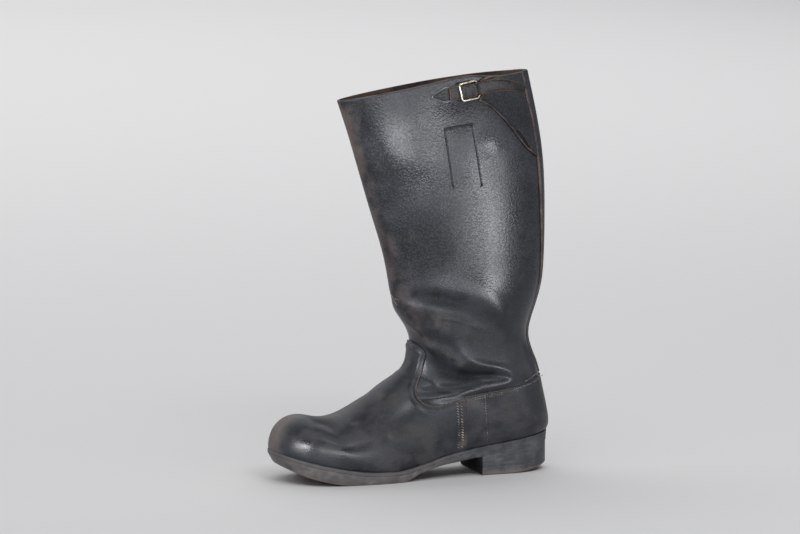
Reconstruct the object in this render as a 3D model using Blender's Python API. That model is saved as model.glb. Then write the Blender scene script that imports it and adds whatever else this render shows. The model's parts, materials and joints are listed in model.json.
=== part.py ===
"""A tall black leather officer's boot for the left foot, standing empty on its sole.

The frame is +Z up with the toe towards -X and the outer side of the foot towards -Y.
Sizes are millimetres and become metres when a mesh is made. The upper is a fan of sections
from the toe round the heel and up the leg, and every other leather piece is laid on that form.
"""

from collections import namedtuple

import bmesh
import bpy
import numpy as np

MM = 0.001
GAP = 0.3

# Driving sizes of the boot
WALL = 2.2
VAMP_THICKNESS = 1.8
COUNTER_LIFT = 0.4
COUNTER_THICKNESS = 1.3
FLAP_THICKNESS = 1.6
STRIP_THICKNESS = 1.7
STRAP_THICKNESS = 1.7
CHAPE_THICKNESS = 1.5
BUCKLE_WIRE_RADIUS = 1.0
BUCKLE_HALF_LENGTH = 10.5
BUCKLE_HALF_HEIGHT = 9.3
BUCKLE_CORNER = 2.6
WELT_THICKNESS = 3.9
WELT_SEAT = WALL + 0.8
INSOLE_RISE = 1.0
INSOLE_INSET = WALL + 1.5
HEEL_BREAST_TOP_X = 69.0
HEEL_BREAST_FOOT_X = 72.5
TOP_PIECE_THICKNESS = 9.0
HEEL_FLAT_END_X = 110.0
HEEL_WEAR_RISE = 5.5
SHIFT = (-3.65, 1.9, 0.0)

LATERAL, MEDIAL = -1.0, 1.0
FEATHER_ZONE = 0.8
BEYOND_SIDES = 90.0

# Sections of the upper, from the toe's feather edge round the heel to the rim of the shaft.
# A section runs from a front point to a back point, seen from the side. An open section ends on
# the feather line, so its back height is None. Half widths are those at the widest place, which
# is given as a share of the way back; the powers round the section in front of it and behind it.
Section = namedtuple(
    "Section",
    "front_x front_z back_x back_z lateral medial widest front_power back_power ridge_y steps",
)
SECTIONS = (
    Section(-145.4, 33.0, -75.0, None, 47.4, 44.4, 0.999, 2.10, 2.0, 9.0, 1),
    Section(-146.0, 42.4, -73.5, None, 47.7, 44.6, 0.97, 2.15, 2.0, 8.5, 1),
    Section(-140.4, 54.8, -72.0, None, 48.0, 44.8, 0.92, 2.20, 2.0, 8.0, 2),
    Section(-130.0, 63.7, -70.0, None, 48.3, 45.0, 0.87, 2.25, 2.0, 7.0, 1),
    Section(-115.0, 66.3, -67.0, None, 48.7, 45.2, 0.82, 2.30, 2.0, 6.0, 2),
    Section(-97.5, 63.2, -62.0, None, 49.2, 45.4, 0.78, 2.30, 2.0, 5.0, 1),
    Section(-80.4, 64.6, -55.0, None, 49.6, 45.4, 0.76, 2.20, 2.0, 4.0, 1),
    Section(-61.0, 73.2, -42.0, None, 49.6, 44.6, 0.74, 2.10, 2.0, 3.0, 1),
    Section(-45.0, 83.5, -21.0, None, 48.5, 42.8, 0.70, 2.00, 2.0, 2.0, 1),
    Section(-32.0, 92.4, 4.0, None, 45.5, 40.6, 0.66, 2.00, 2.0, 1.0, 1),
    Section(-23.0, 98.4, 36.0, None, 42.7, 39.8, 0.62, 2.00, 2.0, 0.5, 2),
    Section(-17.0, 102.2, 68.0, None, 41.3, 39.5, 0.58, 2.00, 2.0, 0.0, 1),
    Section(-11.3, 106.0, 98.0, None, 40.6, 39.2, 0.55, 2.00, 2.2, 0.0, 1),
    Section(-7.2, 109.2, 126.0, None, 40.4, 38.9, 0.54, 2.00, 2.4, 0.0, 2),
    Section(-3.9, 112.0, 153.0, 43.0, 40.2, 38.6, 0.54, 2.00, 2.5, 0.0, 4),
    Section(0.2, 118.4, 154.5, 62.0, 41.0, 39.2, 0.53, 2.00, 2.4, 0.0, 1),
    Section(2.8, 127.6, 149.5, 88.0, 42.0, 40.4, 0.52, 2.05, 2.2, 0.0, 2),
    Section(4.4, 139.0, 143.5, 114.0, 42.6, 41.0, 0.51, 2.10, 2.0, 0.0, 1),
    Section(3.6, 149.0, 135.0, 138.0, 42.6, 41.2, 0.50, 2.10, 1.9, 0.0, 1),
    Section(-1.0, 159.5, 134.0, 151.0, 43.0, 41.6, 0.50, 2.10, 1.9, 0.0, 1),
    Section(-11.5, 175.0, 139.5, 171.0, 44.0, 42.6, 0.50, 2.05, 1.9, 0.0, 1),
    Section(-17.5, 197.0, 147.5, 196.0, 42.6, 41.6, 0.50, 2.00, 1.9, 0.0, 1),
    Section(-23.4, 229.0, 151.3, 228.0, 40.0, 39.4, 0.50, 2.00, 1.9, 0.0, 1),
    Section(-39.0, 281.0, 152.3, 281.0, 37.0, 37.0, 0.50, 1.95, 1.9, 0.0, 2),
    Section(-57.6, 344.0, 148.3, 348.0, 34.5, 35.0, 0.50, 1.90, 1.9, 0.0, 2),
    Section(-75.4, 398.0, 132.5, 426.0, 32.0, 33.5, 0.50, 1.90, 1.9, 0.0, 2),
)

# How the rim rises above the straight line from its front to its back
Rim = namedtuple("Rim", "x lateral medial")
RIM = (
    Rim(0.0, 0.0, 0.0),
    Rim(0.3, 3.6, 1.0),
    Rim(0.62, 7.4, 2.0),
    Rim(0.72, 5.0, 2.0),
    Rim(0.82, 1.4, 1.5),
    Rim(1.0, 0.0, 0.0),
)

# The feather line in plan, where upper and sole meet, with the height of the seat
Feather = namedtuple("Feather", "x lateral medial seat")
FEATHER = (
    Feather(-153.0, 47.4, 44.4, 35.4),
    Feather(-145.4, 47.4, 44.4, 33.0),
    Feather(-127.0, 47.4, 44.4, 27.6),
    Feather(-108.5, 47.4, 44.4, 23.1),
    Feather(-92.0, 47.4, 44.4, 19.4),
    Feather(-75.0, 47.4, 44.4, 16.0),
    Feather(-52.0, 48.1, 43.4, 13.0),
    Feather(-26.0, 46.0, 38.9, 12.2),
    Feather(4.0, 40.5, 32.3, 17.0),
    Feather(36.0, 35.4, 29.6, 25.0),
    Feather(68.0, 32.8, 30.7, 30.4),
    Feather(98.0, 32.0, 31.4, 34.2),
    Feather(153.0, 32.0, 31.4, 42.0),
    Feather(159.0, 32.0, 31.4, 42.9),
)
HEEL_BACK_X = 153.0
HEEL_ROUND_START_X = 98.0
HEEL_ROUND_POWER = 2.3

# The tread's height along the foot: toe spring, flat forefoot, waist and heel seat
Tread = namedtuple("Tread", "x z")
TREAD = (
    Tread(-153.0, 23.5),
    Tread(-134.0, 14.6),
    Tread(-120.0, 9.0),
    Tread(-100.0, 3.8),
    Tread(-82.0, 0.9),
    Tread(-68.0, 0.0),
    Tread(-18.0, 0.0),
    Tread(2.0, 7.6),
    Tread(22.0, 13.0),
    Tread(48.0, 16.6),
    Tread(72.0, 20.3),
    Tread(110.0, 25.0),
    Tread(157.0, 32.0),
)

# How far the sole stands out beyond the feather line
Margin = namedtuple("Margin", "x welt outsole tread heel")
MARGINS = (
    Margin(-148.0, 3.2, 3.6, 0.4, 0.0),
    Margin(-112.0, 4.6, 5.2, 3.4, 0.0),
    Margin(-60.0, 5.6, 6.2, 5.4, 0.0),
    Margin(0.0, 5.2, 5.6, 5.0, 0.0),
    Margin(40.0, 4.0, 4.0, 3.4, 0.0),
    Margin(72.0, 3.4, 3.4, 3.2, 3.2),
    Margin(155.0, 2.8, 2.4, 2.2, 1.6),
)


def column(rows, name):
    return np.array([getattr(row, name) for row in rows], float)


def monotone(xs, ys, x):
    """A smooth curve through a table that never swings past its rows, so a flat stays flat."""
    step = np.diff(xs)
    slope = np.diff(ys) / step
    tangent = np.concatenate([slope[:1], (slope[1:] + slope[:-1]) / 2, slope[-1:]])
    flat = slope[1:] * slope[:-1] <= 0
    tangent[1:-1][flat] = 0.0
    limit = 3.0 * np.minimum(np.abs(np.append(slope, slope[-1])), np.abs(np.append(slope[0], slope)))
    tangent = np.clip(tangent, -limit, limit)
    x = np.clip(np.asarray(x, float), xs[0], xs[-1])
    i = np.clip(np.searchsorted(xs, x, side="right") - 1, 0, len(step) - 1)
    h, t = step[i], (x - xs[i]) / step[i]
    return (
        ys[i] * (1 + 2 * t) * (1 - t) ** 2
        + ys[i + 1] * t * t * (3 - 2 * t)
        + h * tangent[i] * t * (1 - t) ** 2
        + h * tangent[i + 1] * t * t * (t - 1)
    )


def spline(knots, ys, x):
    """A natural cubic spline, which keeps the sections' lines free of kinks."""
    n, h = len(knots), np.diff(knots)
    system, right = np.eye(n), np.zeros(n)
    for i in range(1, n - 1):
        system[i, i - 1 : i + 2] = h[i - 1], 2 * (h[i - 1] + h[i]), h[i]
        right[i] = 6 * ((ys[i + 1] - ys[i]) / h[i] - (ys[i] - ys[i - 1]) / h[i - 1])
    bend = np.linalg.solve(system, right)
    i = np.clip(np.searchsorted(knots, x, side="right") - 1, 0, n - 2)
    a, b, w = (knots[i + 1] - x) / h[i], (x - knots[i]) / h[i], h[i] ** 2 / 6
    return a * ys[i] + b * ys[i + 1] + w * ((a**3 - a) * bend[i] + (b**3 - b) * bend[i + 1])


def table(rows, name, x):
    return monotone(column(rows, "x"), column(rows, name), x)


def feather_half_width(side, x):
    """Half width of the feather line, rounded off behind the heel."""
    width = table(FEATHER, "lateral" if side == LATERAL else "medial", x)
    reach = HEEL_BACK_X - HEEL_ROUND_START_X
    share = np.clip((np.asarray(x, float) - HEEL_ROUND_START_X) / reach, 0, 1)
    return width * (1 - share**HEEL_ROUND_POWER) ** (1 / HEEL_ROUND_POWER)


def seat(x):
    return table(FEATHER, "seat", x)


def tread(x):
    return table(TREAD, "z", x)


# The form of the upper

def section_knots():
    """Where each section lies along the boot: the mean travel of its front and back points."""
    front = np.stack([column(SECTIONS, "front_x"), column(SECTIONS, "front_z")], 1)
    back_z = [seat(s.back_x) if s.back_z is None else s.back_z for s in SECTIONS]
    back = np.stack([column(SECTIONS, "back_x"), np.array(back_z, float)], 1)
    travel = [np.linalg.norm(np.diff(line, axis=0), axis=1) for line in (front, back)]
    return np.concatenate([[0], np.cumsum(sum(travel) / 2)]), front, back


KNOTS, FRONT, BACK = section_knots()
LAST_OPEN = max(i for i, s in enumerate(SECTIONS) if s.back_z is None)
HEEL_KNOT = KNOTS[LAST_OPEN + 1]


def section_value(name, t):
    return spline(KNOTS, column(SECTIONS, name), t)


SAMPLES = 90


def section_sides(t):
    """Outer surface of the upper at stations t: lateral and medial sides, front to back.

    Returns points with axes (side, station, sample) and each sample's share of the way back.
    """
    t = np.atleast_1d(np.asarray(t, float))
    fx, fz = spline(KNOTS, FRONT[:, 0], t), spline(KNOTS, FRONT[:, 1], t)
    bx, bz = spline(KNOTS, BACK[:, 0], t), spline(KNOTS, BACK[:, 1], t)
    is_open = t < HEEL_KNOT - 1e-9
    bx = np.minimum(bx, np.where(is_open, HEEL_BACK_X, np.inf))
    bz = np.where(is_open, seat(bx), bz)
    widest = np.clip(section_value("widest", t), 0.3, 0.999)[:, None]
    p, r = section_value("front_power", t)[:, None], section_value("back_power", t)[:, None]
    ridge = section_value("ridge_y", t)[:, None]
    turn = np.linspace(0, np.pi / 2, SAMPLES)[None, :]
    rim_share = np.clip((t - KNOTS[-3]) / (KNOTS[-1] - KNOTS[-3]), 0, 1)[:, None]
    toe_share = np.clip(1 - t / KNOTS[2], 0, 1)[:, None]
    sides, shares = [], []
    for side, name in ((LATERAL, "lateral"), (MEDIAL, "medial")):
        width = section_value(name, t)[:, None]
        hem = np.where(is_open, feather_half_width(side, bx), 0.0)[:, None]
        hem = np.clip(hem / width, 0, 0.9999)
        front_q = widest * (1 - np.cos(turn) ** (2 / p))
        front_g = np.sin(turn) ** (2 / p)
        fall = 1 - hem**r
        angle = np.arcsin(np.sqrt(fall)) * turn / (np.pi / 2)
        back_q = widest + (1 - widest) * np.sin(angle) ** (2 / r) / fall ** (1 / r)
        back_g = np.cos(angle) ** (2 / r)
        q = np.concatenate([front_q, back_q[:, 1:]], 1)
        g = np.concatenate([front_g, back_g[:, 1:]], 1)
        g[:, -1] = hem[:, 0]
        leaning = np.concatenate([np.ones_like(front_q), np.zeros_like(back_q[:, 1:])], 1)
        y = ridge * (1 - g) * leaning + side * width * g
        x = fx[:, None] + q * (bx - fx)[:, None]
        z = fz[:, None] + q * (bz - fz)[:, None]
        z = z + table(RIM, name, q) * rim_share**2 + (seat(x) - z) * toe_share**2
        sides.append(np.stack([x, y, z], -1))
        shares.append(q)
    return np.array(sides), np.array(shares)


def unit(v):
    return v / np.maximum(np.linalg.norm(v, axis=-1, keepdims=True), 1e-12)


class Form:
    """The upper's outer form on a fine grid, from which points, normals and places are read."""

    STATIONS, ACROSS = 260, 90

    def __init__(self):
        self.t = np.linspace(0, KNOTS[-1], self.STATIONS)
        self.t = np.sort(np.append(self.t, HEEL_KNOT))
        raw, share = section_sides(self.t)
        self.f = np.linspace(0, 1, self.ACROSS)
        self.points = np.empty((2, len(self.t), self.ACROSS, 3))
        self.share = np.empty((2, len(self.t), self.ACROSS))
        for s in range(2):
            for i in range(len(self.t)):
                run = np.linalg.norm(np.diff(raw[s, i], axis=0), axis=1)
                run = np.concatenate([[0], np.cumsum(run)])
                for axis in range(3):
                    self.points[s, i, :, axis] = np.interp(self.f, run / run[-1], raw[s, i, :, axis])
                self.share[s, i] = np.interp(self.f, run / run[-1], share[s, i])
        self.normals = self.grid_normals()

    def grid_normals(self):
        """Outward normals, with the two sides joined along the front line and the back seam."""
        whole = np.concatenate([self.points[0][:, ::-1], self.points[1][:, 1:]], 1)
        along = np.gradient(whole, axis=0)
        across = np.gradient(whole, axis=1)
        closed = self.t >= HEEL_KNOT - 1e-9
        seam = whole[closed, 1] - whole[closed, -2]
        across[closed, 0] = seam
        across[closed, -1] = seam
        normals = unit(np.cross(along, across))
        middle = self.ACROSS - 1
        normals = np.stack([normals[:, middle::-1], normals[:, middle:]])
        for s, side in enumerate((LATERAL, MEDIAL)):
            normals[s] = self.level_at_feather(normals[s], self.points[s], side, closed)
        return normals

    def level_at_feather(self, normals, points, side, closed):
        """Near the feather line the normal turns to that of the line itself in plan."""
        run = np.gradient(points[:, -1, :2], axis=0)
        plan = np.column_stack([run[:, 1], -run[:, 0], np.zeros(len(run))]) * -side
        share = np.clip((self.f - FEATHER_ZONE) / (1 - FEATHER_ZONE), 0, 1)[None, :, None]
        share = share * ~closed[:, None, None]
        turned = normals * (1 - share) + unit(plan)[:, None] * share
        turned[0, :, 2] = 0.0
        return unit(turned)

    def read(self, grid, t, f, side):
        """Bilinear reading of a grid at stations t and shares f of one side's length."""
        t, f = np.broadcast_arrays(np.asarray(t, float), np.asarray(f, float))
        i = np.clip(np.searchsorted(self.t, t, side="right") - 1, 0, len(self.t) - 2)
        a = np.clip((t - self.t[i]) / (self.t[i + 1] - self.t[i]), 0, 1)[..., None]
        place = np.clip(f, 0, 1) * (self.ACROSS - 1)
        j = np.clip(place.astype(int), 0, self.ACROSS - 2)
        b = (place - j)[..., None]
        g = grid[0 if side == LATERAL else 1]
        return (
            (1 - a) * ((1 - b) * g[i, j] + b * g[i, j + 1])
            + a * ((1 - b) * g[i + 1, j] + b * g[i + 1, j + 1])
        )

    def at(self, t, f, side, lift=0.0):
        """Points on the form, raised by lift along the normal."""
        normal = unit(self.read(self.normals, t, f, side))
        return self.read(self.points, t, f, side) + np.asarray(lift, float)[..., None] * normal

    def locate(self, x, z, side):
        """Station and share of the surface point that is seen at (x, z) from that side."""
        x, z = np.broadcast_arrays(np.asarray(x, float), np.asarray(z, float))
        aim_x, aim_z = x, z
        for _ in range(4):
            t, f = self.on_straight_section(aim_x, aim_z, side)
            found = self.read(self.points, t, f, side)
            aim_x, aim_z = aim_x + x - found[..., 0], aim_z + z - found[..., 2]
        return t, f

    def on_straight_section(self, x, z, side):
        """The same for a section that is straight from its front point to its back point."""
        s = 0 if side == LATERAL else 1
        front, back = self.points[s, :, 0][:, [0, 2]], self.points[s, :, -1][:, [0, 2]]
        run = back - front
        spot = np.stack([x.ravel(), z.ravel()], 1)
        away = spot[:, None, :] - front[None]
        height = (run[None, :, 0] * away[..., 1] - run[None, :, 1] * away[..., 0])
        height /= np.linalg.norm(run, axis=1)[None]
        first = np.argmax(height < 0, axis=1)
        first = np.where((height < 0).any(1), np.maximum(first, 1), len(self.t) - 1)
        k = np.arange(len(spot))
        above, below = height[k, first - 1], height[k, first]
        mix = np.clip(above / np.where(above == below, 1, above - below), 0, 1)
        t = self.t[first - 1] + mix * (self.t[first] - self.t[first - 1])
        f = np.empty(len(spot))
        for n in range(len(spot)):
            i = first[n] - 1
            start = front[i] + mix[n] * (front[i + 1] - front[i])
            line = run[i] + mix[n] * (run[i + 1] - run[i])
            q = np.dot(spot[n] - start, line) / np.dot(line, line)
            share = self.share[s, i] + mix[n] * (self.share[s, i + 1] - self.share[s, i])
            f[n] = np.interp(q, share, self.f)
        return t.reshape(x.shape), f.reshape(x.shape)

    def on_side(self, x, z, side, lift=0.0):
        t, f = self.locate(x, z, side)
        return self.at(t, f, side, lift)


FORM = Form()


# Making meshes

def leather(name, color, roughness):
    material = bpy.data.materials.new(name)
    material.use_nodes = True
    shader = material.node_tree.nodes["Principled BSDF"]
    shader.inputs["Base Color"].default_value = (*color, 1.0)
    shader.inputs["Roughness"].default_value = roughness
    shader.inputs["Metallic"].default_value = 0.0
    return material


def brass(name):
    material = leather(name, (0.55, 0.47, 0.33), 0.3)
    material.node_tree.nodes["Principled BSDF"].inputs["Metallic"].default_value = 1.0
    return material


def add_object(name, points, faces, material):
    mesh = bpy.data.meshes.new(name)
    placed = (np.asarray(points, float) + np.array(SHIFT)) * MM
    mesh.from_pydata(placed.tolist(), [], faces)
    work = bmesh.new()
    work.from_mesh(mesh)
    bmesh.ops.remove_doubles(work, verts=work.verts, dist=1e-6)
    bmesh.ops.dissolve_degenerate(work, dist=1e-6, edges=work.edges)
    bmesh.ops.recalc_face_normals(work, faces=work.faces)
    work.to_mesh(mesh)
    work.free()
    mesh.shade_smooth()
    mesh.set_sharp_from_angle(angle=np.radians(40))
    mesh.materials.append(material)
    made = bpy.data.objects.new(name, mesh)
    bpy.context.scene.collection.objects.link(made)
    return made


def shell(name, outer, inner, material, closed_from=None):
    """A solid between two grids of points. Rows from closed_from on join their two ends."""
    outer, inner = np.asarray(outer, float), np.asarray(inner, float)
    rows, columns = outer.shape[:2]
    closed_from = rows if closed_from is None else closed_from
    index = np.arange(rows * columns).reshape(rows, columns)
    index[closed_from:, -1] = index[closed_from:, 0]
    top, low = index, index + rows * columns
    faces = []
    for i in range(rows - 1):
        for j in range(columns - 1):
            a, b, c, d = (i, j), (i, j + 1), (i + 1, j + 1), (i + 1, j)
            faces += [(top[a], top[b], top[c]), (top[a], top[c], top[d])]
            faces += [(low[a], low[c], low[b]), (low[a], low[d], low[c])]
        if i < closed_from:
            faces.append((top[i, 0], top[i + 1, 0], low[i + 1, 0], low[i, 0]))
            faces.append((top[i, -1], low[i, -1], low[i + 1, -1], top[i + 1, -1]))
    for j in range(columns - 1):
        faces.append((top[0, j], low[0, j], low[0, j + 1], top[0, j + 1]))
        faces.append((top[-1, j], top[-1, j + 1], low[-1, j + 1], low[-1, j]))
    points = np.concatenate([outer.reshape(-1, 3), inner.reshape(-1, 3)])
    used = sorted({k for face in faces for k in face})
    renumber = {k: n for n, k in enumerate(used)}
    faces = [tuple(renumber[k] for k in face) for face in faces]
    return add_object(name, points[used], faces, material)


def stations(first=0, last=None):
    """Stations for a mesh: each section's own, with its count of steps to the one before."""
    last = len(SECTIONS) - 1 if last is None else last
    found = [KNOTS[first]]
    for i in range(first + 1, last + 1):
        steps = SECTIONS[i].steps
        found += list(KNOTS[i - 1] + (KNOTS[i] - KNOTS[i - 1]) * np.arange(1, steps + 1) / steps)
    return np.array(found)


def both_sides(t, shares, lift):
    """Grid of points over both sides, from the outer hem over the front line to the inner hem."""
    t, shares = np.asarray(t, float)[:, None], np.asarray(shares, float)[None, :]
    outer_side = FORM.at(t, shares[:, ::-1], LATERAL, np.full((len(t), shares.shape[1]), lift))
    inner_side = FORM.at(t, shares, MEDIAL, np.full((len(t), shares.shape[1]), lift))
    return np.concatenate([outer_side, inner_side[:, 1:]], 1)


# The leather of the upper

COLUMNS = 13


def covering(name, material, low, high, first=0, last=None):
    """A layer of the boot's own form between two lifts, over a run of its sections."""
    t = stations(first, last)
    even = np.linspace(0, 1, COLUMNS)
    shares = 0.45 * even + 0.55 * (0.5 - 0.5 * np.cos(np.pi * even))
    outer, inner = both_sides(t, shares, high), both_sides(t, shares, low)
    is_open = t < HEEL_KNOT - 1e-9
    for layer in (outer, inner):
        for end in (0, -1):
            layer[is_open, end, 2] = seat(layer[is_open, end, 0])
        if first == 0:
            layer[0, :, 2] = seat(layer[0, :, 0])
    closed_from = int(np.argmin(is_open)) if not is_open.all() else None
    return shell(name, outer, inner, material, closed_from)


def make_upper(material):
    """Shaft and foot in one hollow wall, open at the rim and underneath."""
    return covering("upper", material, -WALL, 0.0)


def prism(outline, axis, near, far, material):
    """An outline carried straight through the boot, along Y or along X."""
    ring = np.asarray(outline, float)
    ends = []
    for depth in (near, far):
        level = np.full(len(ring), depth)
        order = (ring[:, 0], level, ring[:, 1]) if axis == "Y" else (level, ring[:, 0], ring[:, 1])
        ends.append(np.stack(order, 1))
    n = len(ring)
    faces = [tuple(range(n)), tuple(range(n, 2 * n))]
    faces += [(i, (i + 1) % n, n + (i + 1) % n, n + i) for i in range(n)]
    return add_object("outline", np.concatenate(ends), faces, material)


def cut(target, cutter, operation):
    modifier = target.modifiers.new("cut", "BOOLEAN")
    modifier.operation = operation
    modifier.solver = "EXACT"
    modifier.object = cutter
    graph = bpy.context.evaluated_depsgraph_get()
    result = bpy.data.meshes.new_from_object(target.evaluated_get(graph))
    target.modifiers.clear()
    target.data = result
    bpy.data.objects.remove(cutter)


def curve_through(rows, steps=3):
    """A smooth line through rows of two coordinates, straight only where rows repeat a slope."""
    rows = np.array(rows, float)
    padded = np.concatenate([2 * rows[:1] - rows[1:2], rows, 2 * rows[-1:] - rows[-2:-1]])
    found = []
    for i in range(1, len(padded) - 2):
        a, b, c, d = padded[i - 1 : i + 3]
        for s in np.arange(steps) / steps:
            found.append(0.5 * (2 * b + (c - a) * s + (2 * a - 5 * b + 4 * c - d) * s**2
                                + (3 * b - a - 3 * c + d) * s**3))
    return [tuple(p) for p in found] + [tuple(rows[-1])]


# The vamp's rear edge, seen from the side: up the side seam, round the bay, up to the tongue's tip
VampEdge = namedtuple("VampEdge", "x z")
VAMP_SIDE_SEAM = (VampEdge(54.9, 14.0), VampEdge(52.2, 83.8))
VAMP_BAY = (
    VampEdge(52.2, 83.8),
    VampEdge(31.4, 79.1),
    VampEdge(17.1, 78.1),
    VampEdge(8.0, 81.0),
    VampEdge(2.4, 88.0),
    VampEdge(3.7, 97.5),
    VampEdge(9.6, 108.0),
    VampEdge(13.4, 121.0),
    VampEdge(14.6, 131.0),
    VampEdge(9.8, 138.4),
    VampEdge(-2.0, 148.0),
)
VAMP_FRONT = (VampEdge(-30.0, 165.0), VampEdge(-175.0, 165.0), VampEdge(-175.0, 5.0))
VAMP_LAST_SECTION = 20


def make_vamp(material):
    """Toe, vamp and tongue in one piece, laid over the foot and sewn to shaft and counter."""
    vamp = covering("vamp", material, GAP, GAP + VAMP_THICKNESS, 0, VAMP_LAST_SECTION)
    outline = [VAMP_SIDE_SEAM[0]] + curve_through(VAMP_BAY) + list(VAMP_FRONT)
    cut(vamp, prism(outline, "Y", -BEYOND_SIDES, BEYOND_SIDES, material), "INTERSECT")


CounterTop = namedtuple("CounterTop", "x z")
COUNTER_TOP = (
    CounterTop(52.7, 86.2),
    CounterTop(79.7, 90.5),
    CounterTop(106.0, 94.0),
    CounterTop(131.0, 98.6),
    CounterTop(165.0, 106.0),
)
COUNTER_FIRST_SECTION, COUNTER_LAST_SECTION = 8, 19
COUNTER_BEYOND_X, COUNTER_BELOW_Z = 170.0, 5.0


def make_counter(material):
    """The stiff heel piece, from the side seams round the heel."""
    top = COUNTER_LIFT + COUNTER_THICKNESS
    counter = covering(
        "counter", material, COUNTER_LIFT, top, COUNTER_FIRST_SECTION, COUNTER_LAST_SECTION
    )
    front_x = VAMP_SIDE_SEAM[0].x + 2 * GAP
    below = [(COUNTER_BEYOND_X, COUNTER_BELOW_Z), (front_x, COUNTER_BELOW_Z)]
    outline = [(front_x, VAMP_SIDE_SEAM[0].z)] + curve_through(COUNTER_TOP) + below
    cut(counter, prism(outline, "Y", -BEYOND_SIDES, BEYOND_SIDES, material), "INTERSECT")


# The strip over the back seam, by height
Strip = namedtuple("Strip", "z half_width")
STRIP = (
    Strip(108.5, 8.0),
    Strip(180.0, 10.5),
    Strip(260.0, 13.0),
    Strip(340.0, 13.4),
    Strip(440.0, 12.6),
)
STRIP_FROM_X, STRIP_TO_X = 95.0, 200.0
STRIP_FIRST_SECTION = 16


def strip_outline(spare):
    right = [(row.half_width + spare, row.z) for row in STRIP]
    return right + [(-y, z) for y, z in reversed(right)]


def make_back_strip(material):
    """The strip over the back seam, from the counter to the rim."""
    strip = covering("back_strip", material, GAP, GAP + STRIP_THICKNESS, STRIP_FIRST_SECTION)
    cut(strip, prism(strip_outline(0.0), "X", STRIP_FROM_X, STRIP_TO_X, material), "INTERSECT")


# The calf flap's outline, seen from the outer side: its slit, its end under the strap, its corner
Flap = namedtuple("Flap", "x z")
FLAP_SLIT = (
    Flap(150.0, 331.5),
    Flap(138.8, 335.8),
    Flap(125.2, 345.8),
    Flap(116.4, 355.7),
    Flap(107.9, 365.6),
    Flap(100.7, 374.4),
    Flap(92.5, 382.0),
    Flap(85.5, 388.1),
    Flap(78.6, 393.0),
    Flap(69.3, 396.5),
)
FLAP_END = (Flap(73.8, 402.0), Flap(73.8, 412.0), Flap(70.8, 418.0), Flap(85.5, 428.0))
FLAP_CORNER = (Flap(86.0, 450.0), Flap(150.0, 450.0))
FLAP_FIRST_SECTION = 22


def make_calf_flap(material):
    """The gusset flap that the strap draws in, on the outer side behind the slit."""
    flap = covering("calf_flap", material, GAP, GAP + FLAP_THICKNESS, FLAP_FIRST_SECTION)
    outline = curve_through(FLAP_SLIT, 2) + list(FLAP_END + FLAP_CORNER)
    cut(flap, prism(outline, "Y", -BEYOND_SIDES, 0.0, material), "INTERSECT")
    cut(flap, prism(strip_outline(GAP), "X", STRIP_FROM_X, STRIP_TO_X, material), "DIFFERENCE")


# The strap and its buckle

# Centre line of a strap on the outer side, from front to back, with its lift off the form
Strap = namedtuple("Strap", "x z half_width lift")
STRAP = (
    Strap(36.5, 404.6, 7.6, 2.1),
    Strap(46.0, 405.5, 7.3, 2.1),
    Strap(54.0, 406.6, 7.1, 2.3),
    Strap(62.0, 408.0, 7.0, 2.7),
    Strap(69.0, 409.4, 7.1, 2.9),
    Strap(78.0, 411.3, 7.1, 2.6),
    Strap(85.0, 412.0, 6.9, 2.4),
    Strap(96.0, 412.2, 6.2, 2.4),
    Strap(108.0, 411.0, 5.2, 2.4),
    Strap(117.0, 408.9, 4.5, 2.4),
    Strap(121.0, 407.5, 4.2, 2.4),
)
CHAPE = (
    Strap(17.6, 402.1, 0.6, GAP),
    Strap(25.5, 403.1, 4.4, GAP),
    Strap(33.6, 404.0, 8.1, GAP),
    Strap(36.0, 404.4, 7.6, GAP),
    Strap(52.0, 406.3, 7.2, GAP),
)
STRAP_STEPS, CHAPE_STEPS = 24, 12


def make_band(name, rows, thickness, material, steps):
    """A strip of leather that follows the outer side of the shaft."""
    x = np.linspace(rows[0].x, rows[-1].x, steps)
    z, half, lift = (table(rows, key, x) for key in ("z", "half_width", "lift"))
    along = unit(np.stack([np.gradient(x), np.gradient(z)], 1))
    across = np.linspace(-1, 1, 4)[None, :]
    grid_x = x[:, None] - along[:, 1:] * across * half[:, None]
    grid_z = z[:, None] + along[:, :1] * across * half[:, None]
    lift = np.broadcast_to(lift[:, None], grid_x.shape)
    outer = FORM.on_side(grid_x, grid_z, LATERAL, lift + thickness)
    inner = FORM.on_side(grid_x, grid_z, LATERAL, lift)
    return shell(name, outer, inner, material)


BUCKLE_CENTRE = (58.4, 407.4)
BUCKLE_ALONG = (0.987, 0.160)
BUCKLE_ACROSS = (-0.220, 0.975)
BUCKLE_FRONT_LIFT = 5.2
BUCKLE_BACK_LIFT = 1.5


def buckle_path():
    """Centre line of the wire: a rounded rectangle, its front bar over the strap."""
    corner_x = BUCKLE_HALF_LENGTH - BUCKLE_CORNER
    corner_z = BUCKLE_HALF_HEIGHT - BUCKLE_CORNER
    flat = []
    for turn, cx, cz in ((0, 1, 1), (1, -1, 1), (2, -1, -1), (3, 1, -1)):
        for angle in np.pi / 2 * (turn + np.linspace(0, 1, 4)):
            flat.append((cx * corner_x + BUCKLE_CORNER * np.cos(angle),
                         cz * corner_z + BUCKLE_CORNER * np.sin(angle)))
    flat = np.array(flat)
    x = BUCKLE_CENTRE[0] + flat[:, 0] * BUCKLE_ALONG[0] + flat[:, 1] * BUCKLE_ACROSS[0]
    z = BUCKLE_CENTRE[1] + flat[:, 0] * BUCKLE_ALONG[1] + flat[:, 1] * BUCKLE_ACROSS[1]
    back = (flat[:, 0] / BUCKLE_HALF_LENGTH + 1) / 2
    lift = BUCKLE_FRONT_LIFT + back * (BUCKLE_BACK_LIFT - BUCKLE_FRONT_LIFT)
    return FORM.on_side(x, z, LATERAL, lift)


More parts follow.
